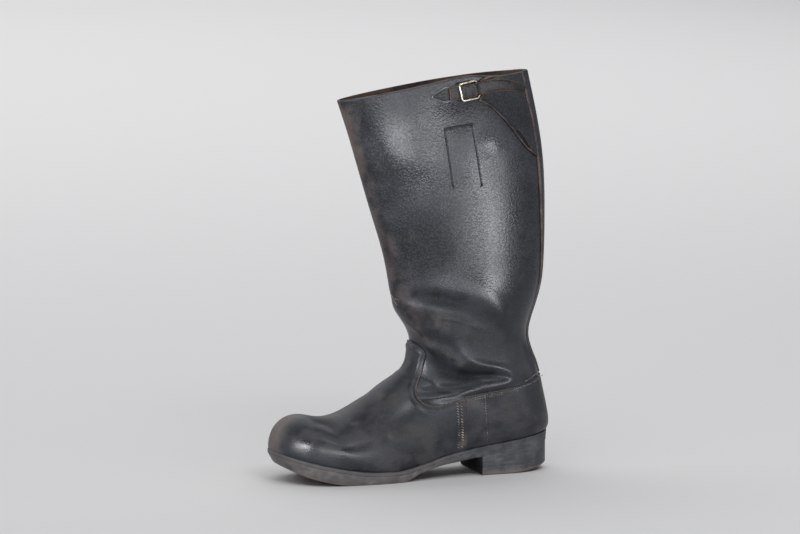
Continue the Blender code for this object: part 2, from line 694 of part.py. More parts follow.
def make_buckle(material):
    path = buckle_path()
    ahead = unit(np.roll(path, -1, 0) - np.roll(path, 1, 0))
    out = unit(np.cross(ahead, np.array([0.0, -1.0, 0.0])))
    up = np.cross(out, ahead)
    turns = np.linspace(0, 2 * np.pi, 9)[None, :, None]
    ring = out[:, None] * np.cos(turns) + up[:, None] * np.sin(turns)
    grid = path[:, None] + BUCKLE_WIRE_RADIUS * ring
    rows, columns = grid.shape[0], grid.shape[1] - 1
    index = np.arange(rows * columns).reshape(rows, columns)
    faces = []
    for i in range(rows):
        for j in range(columns):
            a, b = (i + 1) % rows, (j + 1) % columns
            faces.append((index[i, j], index[a, j], index[a, b], index[i, b]))
    add_object("buckle_frame", grid[:, :-1].reshape(-1, 3), faces, material)


# The sole and the heel

def feather_loop():
    """The feather line in plan as lateral and medial edges, each from the heel to the toe's tip."""
    turn = np.linspace(0, np.pi / 2, 40)
    heel = HEEL_ROUND_START_X + (HEEL_BACK_X - HEEL_ROUND_START_X) * np.cos(turn)
    waist = np.linspace(HEEL_ROUND_START_X, SECTIONS[0].back_x, 60)[1:]
    x = np.concatenate([heel, waist])
    toe = section_sides(0.0)[0][:, 0, :SAMPLES, :2]
    edges = []
    for side, toe_edge in ((LATERAL, toe[0]), (MEDIAL, toe[1])):
        y = side * feather_half_width(side, x)
        edges.append(np.concatenate([np.stack([x, y], 1), toe_edge[::-1][1:]]))
    return np.concatenate([edges[0], edges[1][::-1][1:-1]]), len(edges[0]) - 1


def grown(margin):
    """The feather loop moved outwards by margin, a size or the name of a column of MARGINS."""
    loop, tip = feather_loop()
    size = table(MARGINS, margin, loop[:, 0]) if isinstance(margin, str) else margin
    run = unit(np.roll(loop, -1, 0) - np.roll(loop, 1, 0))
    out = np.stack([run[:, 1], -run[:, 0]], 1)
    out *= np.sign(np.sum(out * (loop - loop.mean(0)), 1).mean())
    return loop + out * np.broadcast_to(size, len(loop))[:, None], tip


def evenly(loop, count):
    """A closed loop read again at even steps of its length."""
    ring = np.concatenate([loop, loop[:1]])
    run = np.concatenate([[0], np.cumsum(np.linalg.norm(np.diff(ring, axis=0), axis=1))])
    place = np.linspace(0, run[-1], count, endpoint=False)
    return np.stack([np.interp(place, run, ring[:, k]) for k in range(2)], 1)


def edge_y(margin, x):
    """The lateral and medial edges of an outline at places x along the foot."""
    loop, tip = grown(margin)
    lateral = loop[: tip + 1][np.argsort(loop[: tip + 1, 0])]
    medial = np.concatenate([loop[tip:], loop[:1]])
    medial = medial[np.argsort(medial[:, 0])]
    return np.stack([np.interp(x, e[:, 0], e[:, 1]) for e in (lateral, medial)])


def lengthwise(margin, steps, front=None):
    """Places along the foot, close together where the outline turns at toe and heel."""
    loop, _ = grown(margin)
    front = loop[:, 0].min() + 0.25 if front is None else front
    back = loop[:, 0].max() - 0.25
    even = np.linspace(0, 1, steps)
    if front > 0:
        return front + (back - front) * np.sin(np.pi / 2 * even)
    return front + (back - front) * (0.35 * even + 0.65 * (0.5 - 0.5 * np.cos(np.pi * even)))


def make_plate(name, material, *surfaces):
    """A plate between an upper and a lower surface, each an outline, places along it and heights."""
    layers = []
    for margin, x, z in surfaces:
        edges = edge_y(margin, x)
        layers.append(np.stack([np.stack([x, y, z], 1) for y in edges], 1))
    return shell(name, layers[0], layers[1], material)


def welt_under(x):
    return seat(x) - GAP - WELT_THICKNESS


OUTSOLE_STEPS, WELT_STEPS, INSOLE_STEPS = 40, 76, 32
HEEL_STEPS, TOP_PIECE_STEPS = 16, 20


def make_outsole(material):
    x, low_x = lengthwise("outsole", OUTSOLE_STEPS), lengthwise("tread", OUTSOLE_STEPS)
    top = ("outsole", x, welt_under(x) - GAP)
    make_plate("outsole", material, top, ("tread", low_x, tread(low_x)))


def make_welt(material):
    """The strip round the feather line that the upper is sewn to."""
    ring = []
    for margin in ("welt", -WELT_SEAT):
        loop = evenly(grown(margin)[0], WELT_STEPS)
        ring.append(np.concatenate([loop, loop[:1]]))
    top = np.stack([np.column_stack([edge, seat(edge[:, 0]) - GAP]) for edge in ring])
    low = np.stack([np.column_stack([edge, welt_under(edge[:, 0])]) for edge in ring])
    shell("welt", top, low, material, closed_from=0)


def make_insole(material):
    x = lengthwise(-INSOLE_INSET, INSOLE_STEPS)
    top = (-INSOLE_INSET, x, seat(x) + INSOLE_RISE)
    make_plate("insole", material, top, (-INSOLE_INSET, x, welt_under(x)))


def make_heel_stack(material):
    """The heel's layers, their breast leaning back towards the floor."""
    share = np.linspace(0, 1, HEEL_STEPS)
    x = lengthwise("heel", HEEL_STEPS, HEEL_BREAST_TOP_X)
    lean = (HEEL_BREAST_FOOT_X - HEEL_BREAST_TOP_X) * (1 - share)
    low = ("heel", x + lean, np.full(HEEL_STEPS, TOP_PIECE_THICKNESS + GAP))
    make_plate("heel_stack", material, ("heel", x, tread(x) - GAP), low)


def make_heel_top_piece(material):
    """The wearing piece, flat in front and worn away at the back."""
    x = lengthwise("heel", TOP_PIECE_STEPS, HEEL_BREAST_FOOT_X)
    top = ("heel", x, np.full(TOP_PIECE_STEPS, TOP_PIECE_THICKNESS))
    worn = np.clip((x - HEEL_FLAT_END_X) / (x[-1] - HEEL_FLAT_END_X), 0, 1)
    make_plate("heel_top_piece", material, top, ("heel", x, HEEL_WEAR_RISE * worn**2))


def main():
    for old in list(bpy.data.objects):
        bpy.data.objects.remove(old)
    black = leather("black_leather", (0.028, 0.029, 0.032), 0.42)
    strap_leather = leather("strap_leather", (0.045, 0.033, 0.028), 0.5)
    make_outsole(leather("sole_leather", (0.045, 0.035, 0.028), 0.6))
    make_welt(leather("welt_leather", (0.03, 0.027, 0.026), 0.55))
    make_insole(leather("insole_leather", (0.2, 0.12, 0.07), 0.75))
    make_heel_stack(leather("heel_leather", (0.028, 0.027, 0.028), 0.5))
    make_heel_top_piece(leather("top_piece_leather", (0.06, 0.04, 0.028), 0.7))
    make_upper(black)
    make_vamp(black)
    make_counter(black)
    make_back_strip(black)
    make_calf_flap(black)
    make_band("strap", STRAP, STRAP_THICKNESS, strap_leather, STRAP_STEPS)
    make_band("buckle_chape", CHAPE, CHAPE_THICKNESS, strap_leather, CHAPE_STEPS)
    make_buckle(brass("buckle_brass"))


main()
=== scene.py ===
import json
from collections import namedtuple

import bmesh
import bpy
import numpy as np
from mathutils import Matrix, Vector

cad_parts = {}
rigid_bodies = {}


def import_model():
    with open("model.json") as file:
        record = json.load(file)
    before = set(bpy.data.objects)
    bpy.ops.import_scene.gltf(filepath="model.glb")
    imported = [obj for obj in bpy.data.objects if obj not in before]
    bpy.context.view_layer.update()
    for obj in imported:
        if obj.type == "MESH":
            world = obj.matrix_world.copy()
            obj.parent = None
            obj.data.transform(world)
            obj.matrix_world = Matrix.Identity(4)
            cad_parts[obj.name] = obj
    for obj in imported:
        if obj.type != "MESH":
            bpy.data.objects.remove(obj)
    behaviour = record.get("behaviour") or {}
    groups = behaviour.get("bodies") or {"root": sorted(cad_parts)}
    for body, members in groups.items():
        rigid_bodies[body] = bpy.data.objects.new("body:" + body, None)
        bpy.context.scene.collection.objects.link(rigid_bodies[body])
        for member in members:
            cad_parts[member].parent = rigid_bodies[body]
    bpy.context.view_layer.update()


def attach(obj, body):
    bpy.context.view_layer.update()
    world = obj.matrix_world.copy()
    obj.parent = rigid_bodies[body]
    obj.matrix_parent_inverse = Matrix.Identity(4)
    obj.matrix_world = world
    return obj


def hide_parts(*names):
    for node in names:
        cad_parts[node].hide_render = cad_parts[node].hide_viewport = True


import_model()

# The upper
# Shaft and foot are one wall of black cowhide, blocked on the last and closed up the back. It is open
# at the rim and lasted under at the foot. Wear has set deep folds in it round the ankle.

MM = 0.001
PLACE = np.array([-3.65, 1.9, 0.0])
WALL = 2.2
LATERAL, MEDIAL = -1.0, 1.0

Point = namedtuple("Point", "x z")

# Sections of the last in millimetres, from the toe's feather edge round the heel to the rim
Section = namedtuple(
    "Section",
    "front_x front_z back_x back_z lateral medial widest front_power back_power ridge_y",
)
SECTIONS = (
    Section(-145.4, 33.0, -75.0, None, 47.4, 44.4, 0.999, 2.10, 2.0, 9.0),
    Section(-146.0, 42.4, -73.5, None, 47.7, 44.6, 0.97, 2.15, 2.0, 8.5),
    Section(-140.4, 54.8, -72.0, None, 48.0, 44.8, 0.92, 2.20, 2.0, 8.0),
    Section(-130.0, 63.7, -70.0, None, 48.3, 45.0, 0.87, 2.25, 2.0, 7.0),
    Section(-115.0, 66.3, -67.0, None, 48.7, 45.2, 0.82, 2.30, 2.0, 6.0),
    Section(-97.5, 63.2, -62.0, None, 49.2, 45.4, 0.78, 2.30, 2.0, 5.0),
    Section(-80.4, 64.6, -55.0, None, 49.6, 45.4, 0.76, 2.20, 2.0, 4.0),
    Section(-61.0, 73.2, -42.0, None, 49.6, 44.6, 0.74, 2.10, 2.0, 3.0),
    Section(-45.0, 83.5, -21.0, None, 48.5, 42.8, 0.70, 2.00, 2.0, 2.0),
    Section(-32.0, 92.4, 4.0, None, 45.5, 40.6, 0.66, 2.00, 2.0, 1.0),
    Section(-23.0, 98.4, 36.0, None, 42.7, 39.8, 0.62, 2.00, 2.0, 0.5),
    Section(-17.0, 102.2, 68.0, None, 41.3, 39.5, 0.58, 2.00, 2.0, 0.0),
    Section(-11.3, 106.0, 98.0, None, 40.6, 39.2, 0.55, 2.00, 2.2, 0.0),
    Section(-7.2, 109.2, 126.0, None, 40.4, 38.9, 0.54, 2.00, 2.4, 0.0),
    Section(-3.9, 112.0, 153.0, 43.0, 40.2, 38.6, 0.54, 2.00, 2.5, 0.0),
    Section(0.2, 118.4, 154.5, 62.0, 41.0, 39.2, 0.53, 2.00, 2.4, 0.0),
    Section(2.8, 127.6, 149.5, 88.0, 42.0, 40.4, 0.52, 2.05, 2.2, 0.0),
    Section(4.4, 139.0, 143.5, 114.0, 42.6, 41.0, 0.51, 2.10, 2.0, 0.0),
    Section(3.6, 149.0, 135.0, 138.0, 42.6, 41.2, 0.50, 2.10, 1.9, 0.0),
    Section(-1.0, 159.5, 134.0, 151.0, 43.0, 41.6, 0.50, 2.10, 1.9, 0.0),
    Section(-11.5, 175.0, 139.5, 171.0, 44.0, 42.6, 0.50, 2.05, 1.9, 0.0),
    Section(-17.5, 197.0, 147.5, 196.0, 42.6, 41.6, 0.50, 2.00, 1.9, 0.0),
    Section(-23.4, 229.0, 151.3, 228.0, 40.0, 39.4, 0.50, 2.00, 1.9, 0.0),
    Section(-39.0, 281.0, 152.3, 281.0, 37.0, 37.0, 0.50, 1.95, 1.9, 0.0),
    Section(-57.6, 344.0, 148.3, 348.0, 34.5, 35.0, 0.50, 1.90, 1.9, 0.0),
    Section(-75.4, 398.0, 132.5, 426.0, 32.0, 33.5, 0.50, 1.90, 1.9, 0.0),
)

# How the rim rises above the straight line from its front to its back
Rim = namedtuple("Rim", "share lateral medial")
RIM = (
    Rim(0.0, 0.0, 0.0),
    Rim(0.3, 3.6, 1.0),
    Rim(0.62, 7.4, 2.0),
    Rim(0.72, 5.0, 2.0),
    Rim(0.82, 1.4, 1.5),
    Rim(1.0, 0.0, 0.0),
)

# The feather line in plan, where upper and sole meet, with the height of the seat
Feather = namedtuple("Feather", "x lateral medial seat")
FEATHER = (
    Feather(-153.0, 47.4, 44.4, 35.4),
    Feather(-145.4, 47.4, 44.4, 33.0),
    Feather(-127.0, 47.4, 44.4, 27.6),
    Feather(-108.5, 47.4, 44.4, 23.1),
    Feather(-92.0, 47.4, 44.4, 19.4),
    Feather(-75.0, 47.4, 44.4, 16.0),
    Feather(-52.0, 48.1, 43.4, 13.0),
    Feather(-26.0, 46.0, 38.9, 12.2),
    Feather(4.0, 40.5, 32.3, 17.0),
    Feather(36.0, 35.4, 29.6, 25.0),
    Feather(68.0, 32.8, 30.7, 30.4),
    Feather(98.0, 32.0, 31.4, 34.2),
    Feather(153.0, 32.0, 31.4, 42.0),
    Feather(159.0, 32.0, 31.4, 42.9),
)
HEEL_BACK_X = 153.0
HEEL_ROUND_START_X = 98.0
HEEL_ROUND_POWER = 2.3
FEATHER_ZONE = 0.8


def column(rows, name):
    return np.array([getattr(row, name) for row in rows], float)


def monotone(xs, ys, x):
    """A smooth curve through a table that never swings past its rows."""
    step = np.diff(xs)
    slope = np.diff(ys) / step
    tangent = np.concatenate([slope[:1], (slope[1:] + slope[:-1]) / 2, slope[-1:]])
    tangent[1:-1][slope[1:] * slope[:-1] <= 0] = 0.0
    limit = 3.0 * np.minimum(np.abs(np.append(slope, slope[-1])), np.abs(np.append(slope[0], slope)))
    tangent = np.clip(tangent, -limit, limit)
    x = np.clip(np.asarray(x, float), xs[0], xs[-1])
    i = np.clip(np.searchsorted(xs, x, side="right") - 1, 0, len(step) - 1)
    h, t = step[i], (x - xs[i]) / step[i]
    return (
        ys[i] * (1 + 2 * t) * (1 - t) ** 2
        + ys[i + 1] * t * t * (3 - 2 * t)
        + h * tangent[i] * t * (1 - t) ** 2
        + h * tangent[i + 1] * t * t * (t - 1)
    )


def spline(knots, ys, x):
    """A natural cubic spline, which keeps the sections' lines free of kinks."""
    n, h = len(knots), np.diff(knots)
    system, right = np.eye(n), np.zeros(n)
    for i in range(1, n - 1):
        system[i, i - 1 : i + 2] = h[i - 1], 2 * (h[i - 1] + h[i]), h[i]
        right[i] = 6 * ((ys[i + 1] - ys[i]) / h[i] - (ys[i] - ys[i - 1]) / h[i - 1])
    bend = np.linalg.solve(system, right)
    i = np.clip(np.searchsorted(knots, x, side="right") - 1, 0, n - 2)
    a, b, w = (knots[i + 1] - x) / h[i], (x - knots[i]) / h[i], h[i] ** 2 / 6
    return a * ys[i] + b * ys[i + 1] + w * ((a**3 - a) * bend[i] + (b**3 - b) * bend[i + 1])


def table(rows, name, place):
    """A column of a table at places along its first column."""
    return monotone(column(rows, rows[0]._fields[0]), column(rows, name), place)


def ramp(value, start, length):
    """Rises from 0 at the start to 1 over that length."""
    return np.clip((value - start) / length, 0, 1)


def feather_half_width(side, x):
    """Half width of the feather line, rounded off behind the heel."""
    width = table(FEATHER, "lateral" if side == LATERAL else "medial", x)
    share = ramp(np.asarray(x, float), HEEL_ROUND_START_X, HEEL_BACK_X - HEEL_ROUND_START_X)
    return width * (1 - share**HEEL_ROUND_POWER) ** (1 / HEEL_ROUND_POWER)


def seat(x):
    return table(FEATHER, "seat", x)


def section_knots():
    """Where each section lies along the boot: the mean travel of its front and back points."""
    front = np.stack([column(SECTIONS, "front_x"), column(SECTIONS, "front_z")], 1)
    back_z = [seat(s.back_x) if s.back_z is None else s.back_z for s in SECTIONS]
    back = np.stack([column(SECTIONS, "back_x"), np.array(back_z, float)], 1)
    travel = [np.linalg.norm(np.diff(line, axis=0), axis=1) for line in (front, back)]
    return np.concatenate([[0], np.cumsum(sum(travel) / 2)]), front, back


KNOTS, FRONT, BACK = section_knots()
HEEL_KNOT = KNOTS[max(i for i, s in enumerate(SECTIONS) if s.back_z is None) + 1]
SAMPLES = 120


def section_sides(t):
    """Outer surface of the last at stations t, its lateral and medial sides from front to back."""

    def value(name):
        return spline(KNOTS, column(SECTIONS, name), t)[:, None]

    fx, fz = spline(KNOTS, FRONT[:, 0], t), spline(KNOTS, FRONT[:, 1], t)
    bx, bz = spline(KNOTS, BACK[:, 0], t), spline(KNOTS, BACK[:, 1], t)
    is_open = t < HEEL_KNOT - 1e-9
    bx = np.minimum(bx, np.where(is_open, HEEL_BACK_X, np.inf))
    bz = np.where(is_open, seat(bx), bz)
    widest = np.clip(value("widest"), 0.3, 0.999)
    p, r, ridge = value("front_power"), value("back_power"), value("ridge_y")
    turn = np.linspace(0, np.pi / 2, SAMPLES)[None, :]
    rim_share = ramp(t, KNOTS[-3], KNOTS[-1] - KNOTS[-3])[:, None]
    toe_share = 1 - ramp(t, 0, KNOTS[2])[:, None]
    sides = []
    for side, name in ((LATERAL, "lateral"), (MEDIAL, "medial")):
        width = value(name)
        hem = np.where(is_open, feather_half_width(side, bx), 0.0)[:, None]
        hem = np.clip(hem / width, 0, 0.9999)
        front_q = widest * (1 - np.cos(turn) ** (2 / p))
        front_g = np.sin(turn) ** (2 / p)
        fall = 1 - hem**r
        angle = np.arcsin(np.sqrt(fall)) * turn / (np.pi / 2)
        back_q = widest + (1 - widest) * np.sin(angle) ** (2 / r) / fall ** (1 / r)
        back_g = np.cos(angle) ** (2 / r)
        q = np.concatenate([front_q, back_q[:, 1:]], 1)
        g = np.concatenate([front_g, back_g[:, 1:]], 1)
        g[:, -1] = hem[:, 0]
        leaning = np.concatenate([np.ones_like(front_q), np.zeros_like(back_q[:, 1:])], 1)
        x = fx[:, None] + q * (bx - fx)[:, None]
        y = ridge * (1 - g) * leaning + side * width * g
        z = fz[:, None] + q * (bz - fz)[:, None]
        z = z + table(RIM, name, q) * rim_share**2 + (seat(x) - z) * toe_share**2
        sides.append(np.stack([x, y, z], -1))
    return np.array(sides)


def unit(v):
    return v / np.maximum(np.linalg.norm(v, axis=-1, keepdims=True), 1e-12)


def travelled(line):
    return np.concatenate([[0], np.cumsum(np.linalg.norm(np.diff(line, axis=0), axis=1))])


def curve_through(rows, steps):
    """A smooth line through rows of any number of columns."""
    rows = np.array(rows, float)
    padded = np.concatenate([2 * rows[:1] - rows[1:2], rows, 2 * rows[-1:] - rows[-2:-1]])
    found = []
    for a, b, c, d in zip(padded, padded[1:], padded[2:], padded[3:]):
        for s in np.arange(steps) / steps:
            found.append(0.5 * (2 * b + (c - a) * s + (2 * a - 5 * b + 4 * c - d) * s**2
                                + (3 * b - a - 3 * c + d) * s**3))
    return np.array(found + [rows[-1]])


def nearest(points, path):
    """Distance from points to a path, and the place along the path, counted in its rows."""
    best = np.full(points.shape[:-1], np.inf)
    place = np.zeros(points.shape[:-1])
    for k, (a, b) in enumerate(zip(path[:-1], path[1:])):
        run = b - a
        share = np.clip((points - a) @ run / max(run @ run, 1e-9), 0, 1)
        away = np.linalg.norm(points - a - share[..., None] * run, axis=-1)
        closer = away < best
        best = np.where(closer, away, best)
        place = np.where(closer, k + share, place)
    return best, place


class Last:
    """The boot's outer form on a fine grid of stations along it and shares round it.

    A share is -1 at the outer hem or back seam, 0 on the front line and 1 at the inner hem.
    """

    STATIONS, HALF = 480, 160

    def __init__(self):
        self.t = np.sort(np.append(np.linspace(0, KNOTS[-1], self.STATIONS), HEEL_KNOT))
        self.s = np.linspace(-1, 1, 2 * self.HALF + 1)
        even = np.linspace(0, 1, self.HALF + 1)
        sides = []
        for rows in section_sides(self.t):
            side = []
            for line in rows:
                run = travelled(line)
                side.append(np.stack([np.interp(even * run[-1], run, axis) for axis in line.T], 1))
            sides.append(np.array(side))
        self.points = np.concatenate([sides[0][:, ::-1], sides[1][:, 1:]], 1)
        self.normals = self.outward()
        self.rise = np.zeros(self.points.shape[:2] + (1,))

    def outward(self):
        """Outward normals. Near the feather line they turn to that line's own in plan."""
        along = np.gradient(self.points, axis=0)
        across = np.gradient(self.points, axis=1)
        closed = self.t >= HEEL_KNOT - 1e-9
        seam = self.points[closed, 1] - self.points[closed, -2]
        across[closed, 0] = seam
        across[closed, -1] = seam
        normals = unit(np.cross(along, across))
        for side, end in ((LATERAL, 0), (MEDIAL, -1)):
            run = np.gradient(self.points[:, end, :2], axis=0)
            plan = unit(np.column_stack([run[:, 1], -run[:, 0], np.zeros(len(run))]) * -side)
            share = ramp(self.s * side, FEATHER_ZONE, 1 - FEATHER_ZONE)
            share = share[None, :, None] * ~closed[:, None, None]
            normals = unit(normals * (1 - share) + plan[:, None] * share)
        normals[0, :, 2] = 0.0
        return unit(normals)

    def read(self, grid, t, s):
        i = np.clip(np.searchsorted(self.t, t, side="right") - 1, 0, len(self.t) - 2)
        a = np.clip((t - self.t[i]) / (self.t[i + 1] - self.t[i]), 0, 1)[..., None]
        place = (np.clip(s, -1, 1) + 1) * self.HALF
        j = np.clip(place.astype(int), 0, 2 * self.HALF - 1)
        b = (place - j)[..., None]
        return (
            (1 - a) * ((1 - b) * grid[i, j] + b * grid[i, j + 1])
            + a * ((1 - b) * grid[i + 1, j] + b * grid[i + 1, j + 1])
        )

    def at(self, t, s, lift=0.0):
        """Points of the form, raised along its normal."""
        t, s = np.broadcast_arrays(np.asarray(t, float), np.asarray(s, float))
        normal = unit(self.read(self.normals, t, s))
        return self.read(self.points, t, s) + np.asarray(lift, float)[..., None] * normal

    def find(self, x, z, side):
        """Station and share of the point that is seen at (x, z) from that side."""
        x, z = np.broadcast_arrays(np.asarray(x, float), np.asarray(z, float))
        aim = np.stack([x.ravel(), z.ravel()], 1)
        half = np.arange(self.HALF + 1)[::2] + (0 if side == LATERAL else self.HALF)
        seen = self.points[::2][:, half][..., [0, 2]]
        start = [np.argmin(np.sum((seen - spot) ** 2, -1)) for spot in aim]
        row, place = np.unravel_index(start, seen.shape[:2])
        t, s = self.t[::2][row], self.s[half][place]
        low, high = (-1.0, 0.0) if side == LATERAL else (0.0, 1.0)
        small_t, small_s, damping, longest_step, share_size, rounds = 0.5, 0.004, 0.01, 5, 100, 12
        for _ in range(rounds):
            here = self.at(t, s)[:, [0, 2]]
            by_t = (self.at(t + small_t, s) - self.at(t - small_t, s))[:, [0, 2]] / (2 * small_t)
            by_s = (self.at(t, s + small_s) - self.at(t, s - small_s))[:, [0, 2]] / (2 * small_s)
            turn = np.stack([by_t, by_s / share_size], -1)
            normal = np.swapaxes(turn, 1, 2) @ turn + damping * np.eye(2)
            step = np.linalg.solve(normal, np.swapaxes(turn, 1, 2) @ (aim - here)[..., None])[..., 0]
            step = np.clip(step, -longest_step, longest_step)
            t = np.clip(t + step[:, 0], 0, KNOTS[-1])
            s = np.clip(s + step[:, 1] / share_size, low, high)
        return t.reshape(x.shape), s.reshape(x.shape)

    def on_side(self, x, z, side, lift=0.0):
        t, s = self.find(x, z, side)
        return self.at(t, s, lift)

    def path(self, rows, side, lift=0.0):
        """A line on the form, from rows of x and z."""
        return self.on_side(rows[:, 0], rows[:, 1], side, lift)

    def fold(self, side, rows):
        """Raises or sinks the form along a path of rows with x, z, rise and reach."""
        path = curve_through(rows, 6)
        spots = self.path(path, side)
        margin = 3 * path[:, 3].max()
        near = np.all((self.points > spots.min(0) - margin) & (self.points < spots.max(0) + margin), -1)
        away, place = nearest(self.points[near], spots)
        rows_at = np.arange(len(path))
        reach = np.interp(place, rows_at, path[:, 3])
        self.rise[near, 0] += np.interp(place, rows_at, path[:, 2]) * np.exp(-((away / reach) ** 2))

    def set_folds(self):
        self.points = self.points + self.rise * self.normals
        self.normals = self.outward()


LAST = Last()

# The folds that wear has set, first on the outer side and then on the inner. A rise below 0 is a trough.
Fold = namedtuple("Fold", "x z rise reach")
CALF_TROUGH = (
    Fold(-14.0, 189.0, -0.6, 6.5), Fold(-6.0, 191.0, -1.4, 6.5), Fold(5.8, 192.5, -2.1, 6.5),
    Fold(20.0, 192.0, -2.5, 6.5), Fold(35.0, 189.0, -2.6, 6.5), Fold(51.0, 184.0, -2.3, 7.0),
    Fold(62.0, 178.0, -2.0, 8.0), Fold(73.0, 169.0, -1.5, 9.0), Fold(86.0, 156.0, -0.5, 10.0),
)
TROUGH_FLOOR = (
    Fold(-8.0, 180.0, -0.4, 12.0), Fold(8.0, 179.0, -1.1, 13.0), Fold(32.0, 175.0, -1.4, 14.0),
    Fold(56.0, 167.0, -1.0, 13.0), Fold(74.0, 156.0, -0.3, 12.0),
)
CALF_BULGE = (
    Fold(-12.0, 210.0, 0.2, 14.0), Fold(14.0, 210.0, 0.4, 15.0), Fold(41.0, 208.0, 0.6, 15.0),
    Fold(60.0, 203.0, 0.9, 14.0), Fold(74.0, 195.0, 1.2, 12.0), Fold(86.0, 183.0, 1.4, 11.0),
    Fold(95.0, 170.0, 1.1, 10.0), Fold(101.0, 158.0, 0.3, 10.0),
)
ANKLE_SWELL = (
    Fold(14.0, 168.0, 0.4, 14.0), Fold(30.0, 158.0, 0.7, 16.0), Fold(50.0, 147.0, 0.5, 16.0),
    Fold(72.0, 137.0, -0.4, 15.0), Fold(88.0, 134.0, -0.6, 14.0),
)
FRONT_ROLL = (Fold(-3.0, 163.0, 0.5, 6.0), Fold(7.0, 156.5, 1.9, 6.0), Fold(17.0, 150.0, 0.5, 6.5))
ANKLE_LIP = (
    Fold(8.0, 147.0, 0.6, 6.0), Fold(19.0, 140.0, 1.3, 7.0), Fold(32.0, 131.5, 1.8, 7.0),
    Fold(46.0, 122.5, 1.8, 6.5), Fold(57.0, 116.5, 1.0, 5.0),
)
ANKLE_HOOK = (
    Fold(43.5, 146.0, 0.3, 7.0), Fold(46.7, 139.2, 1.0, 6.5), Fold(52.0, 130.5, 1.7, 6.0),
    Fold(60.6, 122.9, 2.1, 5.6), Fold(73.6, 118.2, 2.3, 5.2), Fold(87.1, 115.2, 2.2, 5.0),
    Fold(98.8, 111.0, 2.1, 5.0), Fold(104.4, 105.6, 1.9, 5.0), Fold(101.8, 100.2, 1.8, 5.0),
    Fold(91.9, 97.0, 1.6, 5.2), Fold(74.2, 94.4, 1.7, 5.6), Fold(57.2, 91.2, 1.7, 5.6),
    Fold(44.0, 88.8, 1.7, 5.6), Fold(31.5, 87.0, 1.6, 5.4), Fold(18.0, 85.6, 1.1, 4.6),
    Fold(8.0, 86.5, 0.5, 3.8),
)
HOOK_SHOULDER = (
    Fold(58.0, 132.0, 0.3, 9.0), Fold(70.0, 126.0, 0.7, 9.0), Fold(86.0, 122.5, 0.8, 9.0),
    Fold(100.0, 118.0, 0.7, 9.0), Fold(112.0, 108.0, 0.6, 9.0), Fold(112.0, 98.0, 0.3, 8.0),
)
ANKLE_POCKET = (
    Fold(10.0, 131.0, -0.6, 7.0), Fold(18.0, 124.0, -1.8, 8.0), Fold(27.5, 116.5, -3.0, 8.5),
    Fold(42.3, 109.5, -3.6, 8.0), Fold(58.0, 107.5, -3.6, 6.0), Fold(73.9, 107.4, -3.2, 4.6),
    Fold(87.2, 107.0, -2.4, 3.8), Fold(97.0, 105.8, -0.8, 3.2),
)
BAY_TROUGH = (
    Fold(5.0, 92.5, -0.6, 4.5), Fold(14.0, 92.8, -1.3, 5.0), Fold(24.0, 93.2, -1.8, 5.0),
    Fold(37.5, 94.4, -1.8, 5.0), Fold(52.0, 97.0, -1.4, 5.0), Fold(66.0, 100.0, -0.7, 5.0),
)
HEEL_CORD_HOLLOW = (
    Fold(96.0, 146.0, -0.2, 14.0), Fold(114.0, 136.0, -0.9, 15.0), Fold(132.0, 126.0, -0.8, 13.0),
)
TONGUE_CREASE = (Fold(14.0, 138.5, -0.4, 2.5), Fold(17.0, 133.0, -0.9, 3.0), Fold(22.0, 126.5, -0.3, 3.0))
VAMP_FLEX = (
    Fold(-36.0, 91.0, -0.4, 9.0), Fold(-42.0, 83.0, -0.9, 9.0), Fold(-49.0, 71.0, -1.2, 10.0),
    Fold(-54.0, 57.0, -1.0, 10.0), Fold(-56.0, 44.0, -0.3, 9.0),
)
VAMP_SWELL = (Fold(-24.0, 88.0, 0.3, 11.0), Fold(-28.0, 68.0, 0.5, 12.0), Fold(-33.0, 47.0, 0.2, 11.0))
TOE_DENT = (
    Fold(-112.0, 62.0, -0.5, 9.0), Fold(-100.0, 62.0, -1.8, 10.0), Fold(-89.0, 58.5, -1.8, 10.0),
    Fold(-83.0, 50.0, -0.4, 9.0),
)
PRESSED_PANEL = (Fold(48.0, 356.0, 0.8, 14.0), Fold(54.0, 328.0, 0.9, 14.0), Fold(58.0, 308.0, 0.3, 14.0))
STRAP_HOLLOW = (
    Fold(16.0, 398.0, -0.4, 14.0), Fold(48.0, 401.0, -1.4, 14.0), Fold(88.0, 403.0, -1.5, 14.0),
    Fold(124.0, 398.0, -0.6, 13.0),
)
CALF_SHOULDER = (
    Fold(67.0, 360.0, 0.4, 13.0), Fold(81.0, 351.0, 1.5, 15.0), Fold(98.0, 339.0, 0.4, 14.0),
)
CALF_DOME = (Fold(-44.0, 340.0, 0.6, 26.0), Fold(-16.0, 338.0, 1.9, 28.0), Fold(10.0, 336.0, 1.2, 28.0))
ANKLE_WRINKLES = (
    (Fold(6.0, 180.0, 0.1, 2.0), Fold(20.0, 179.6, 0.22, 2.0), Fold(38.0, 177.0, 0.1, 2.0)),
    (Fold(10.0, 176.8, 0.1, 2.0), Fold(26.0, 176.0, 0.22, 2.0), Fold(46.0, 172.4, 0.1, 2.0)),
    (Fold(24.0, 170.4, 0.1, 2.0), Fold(36.0, 168.6, 0.2, 2.0), Fold(48.0, 165.6, 0.1, 2.0)),
    (Fold(54.0, 163.5, 0.1, 2.0), Fold(62.0, 160.0, 0.35, 2.0), Fold(70.0, 155.5, 0.1, 2.0)),
    (Fold(60.0, 165.0, 0.1, 2.0), Fold(68.0, 161.0, 0.35, 2.0), Fold(75.0, 156.0, 0.1, 2.0)),
)
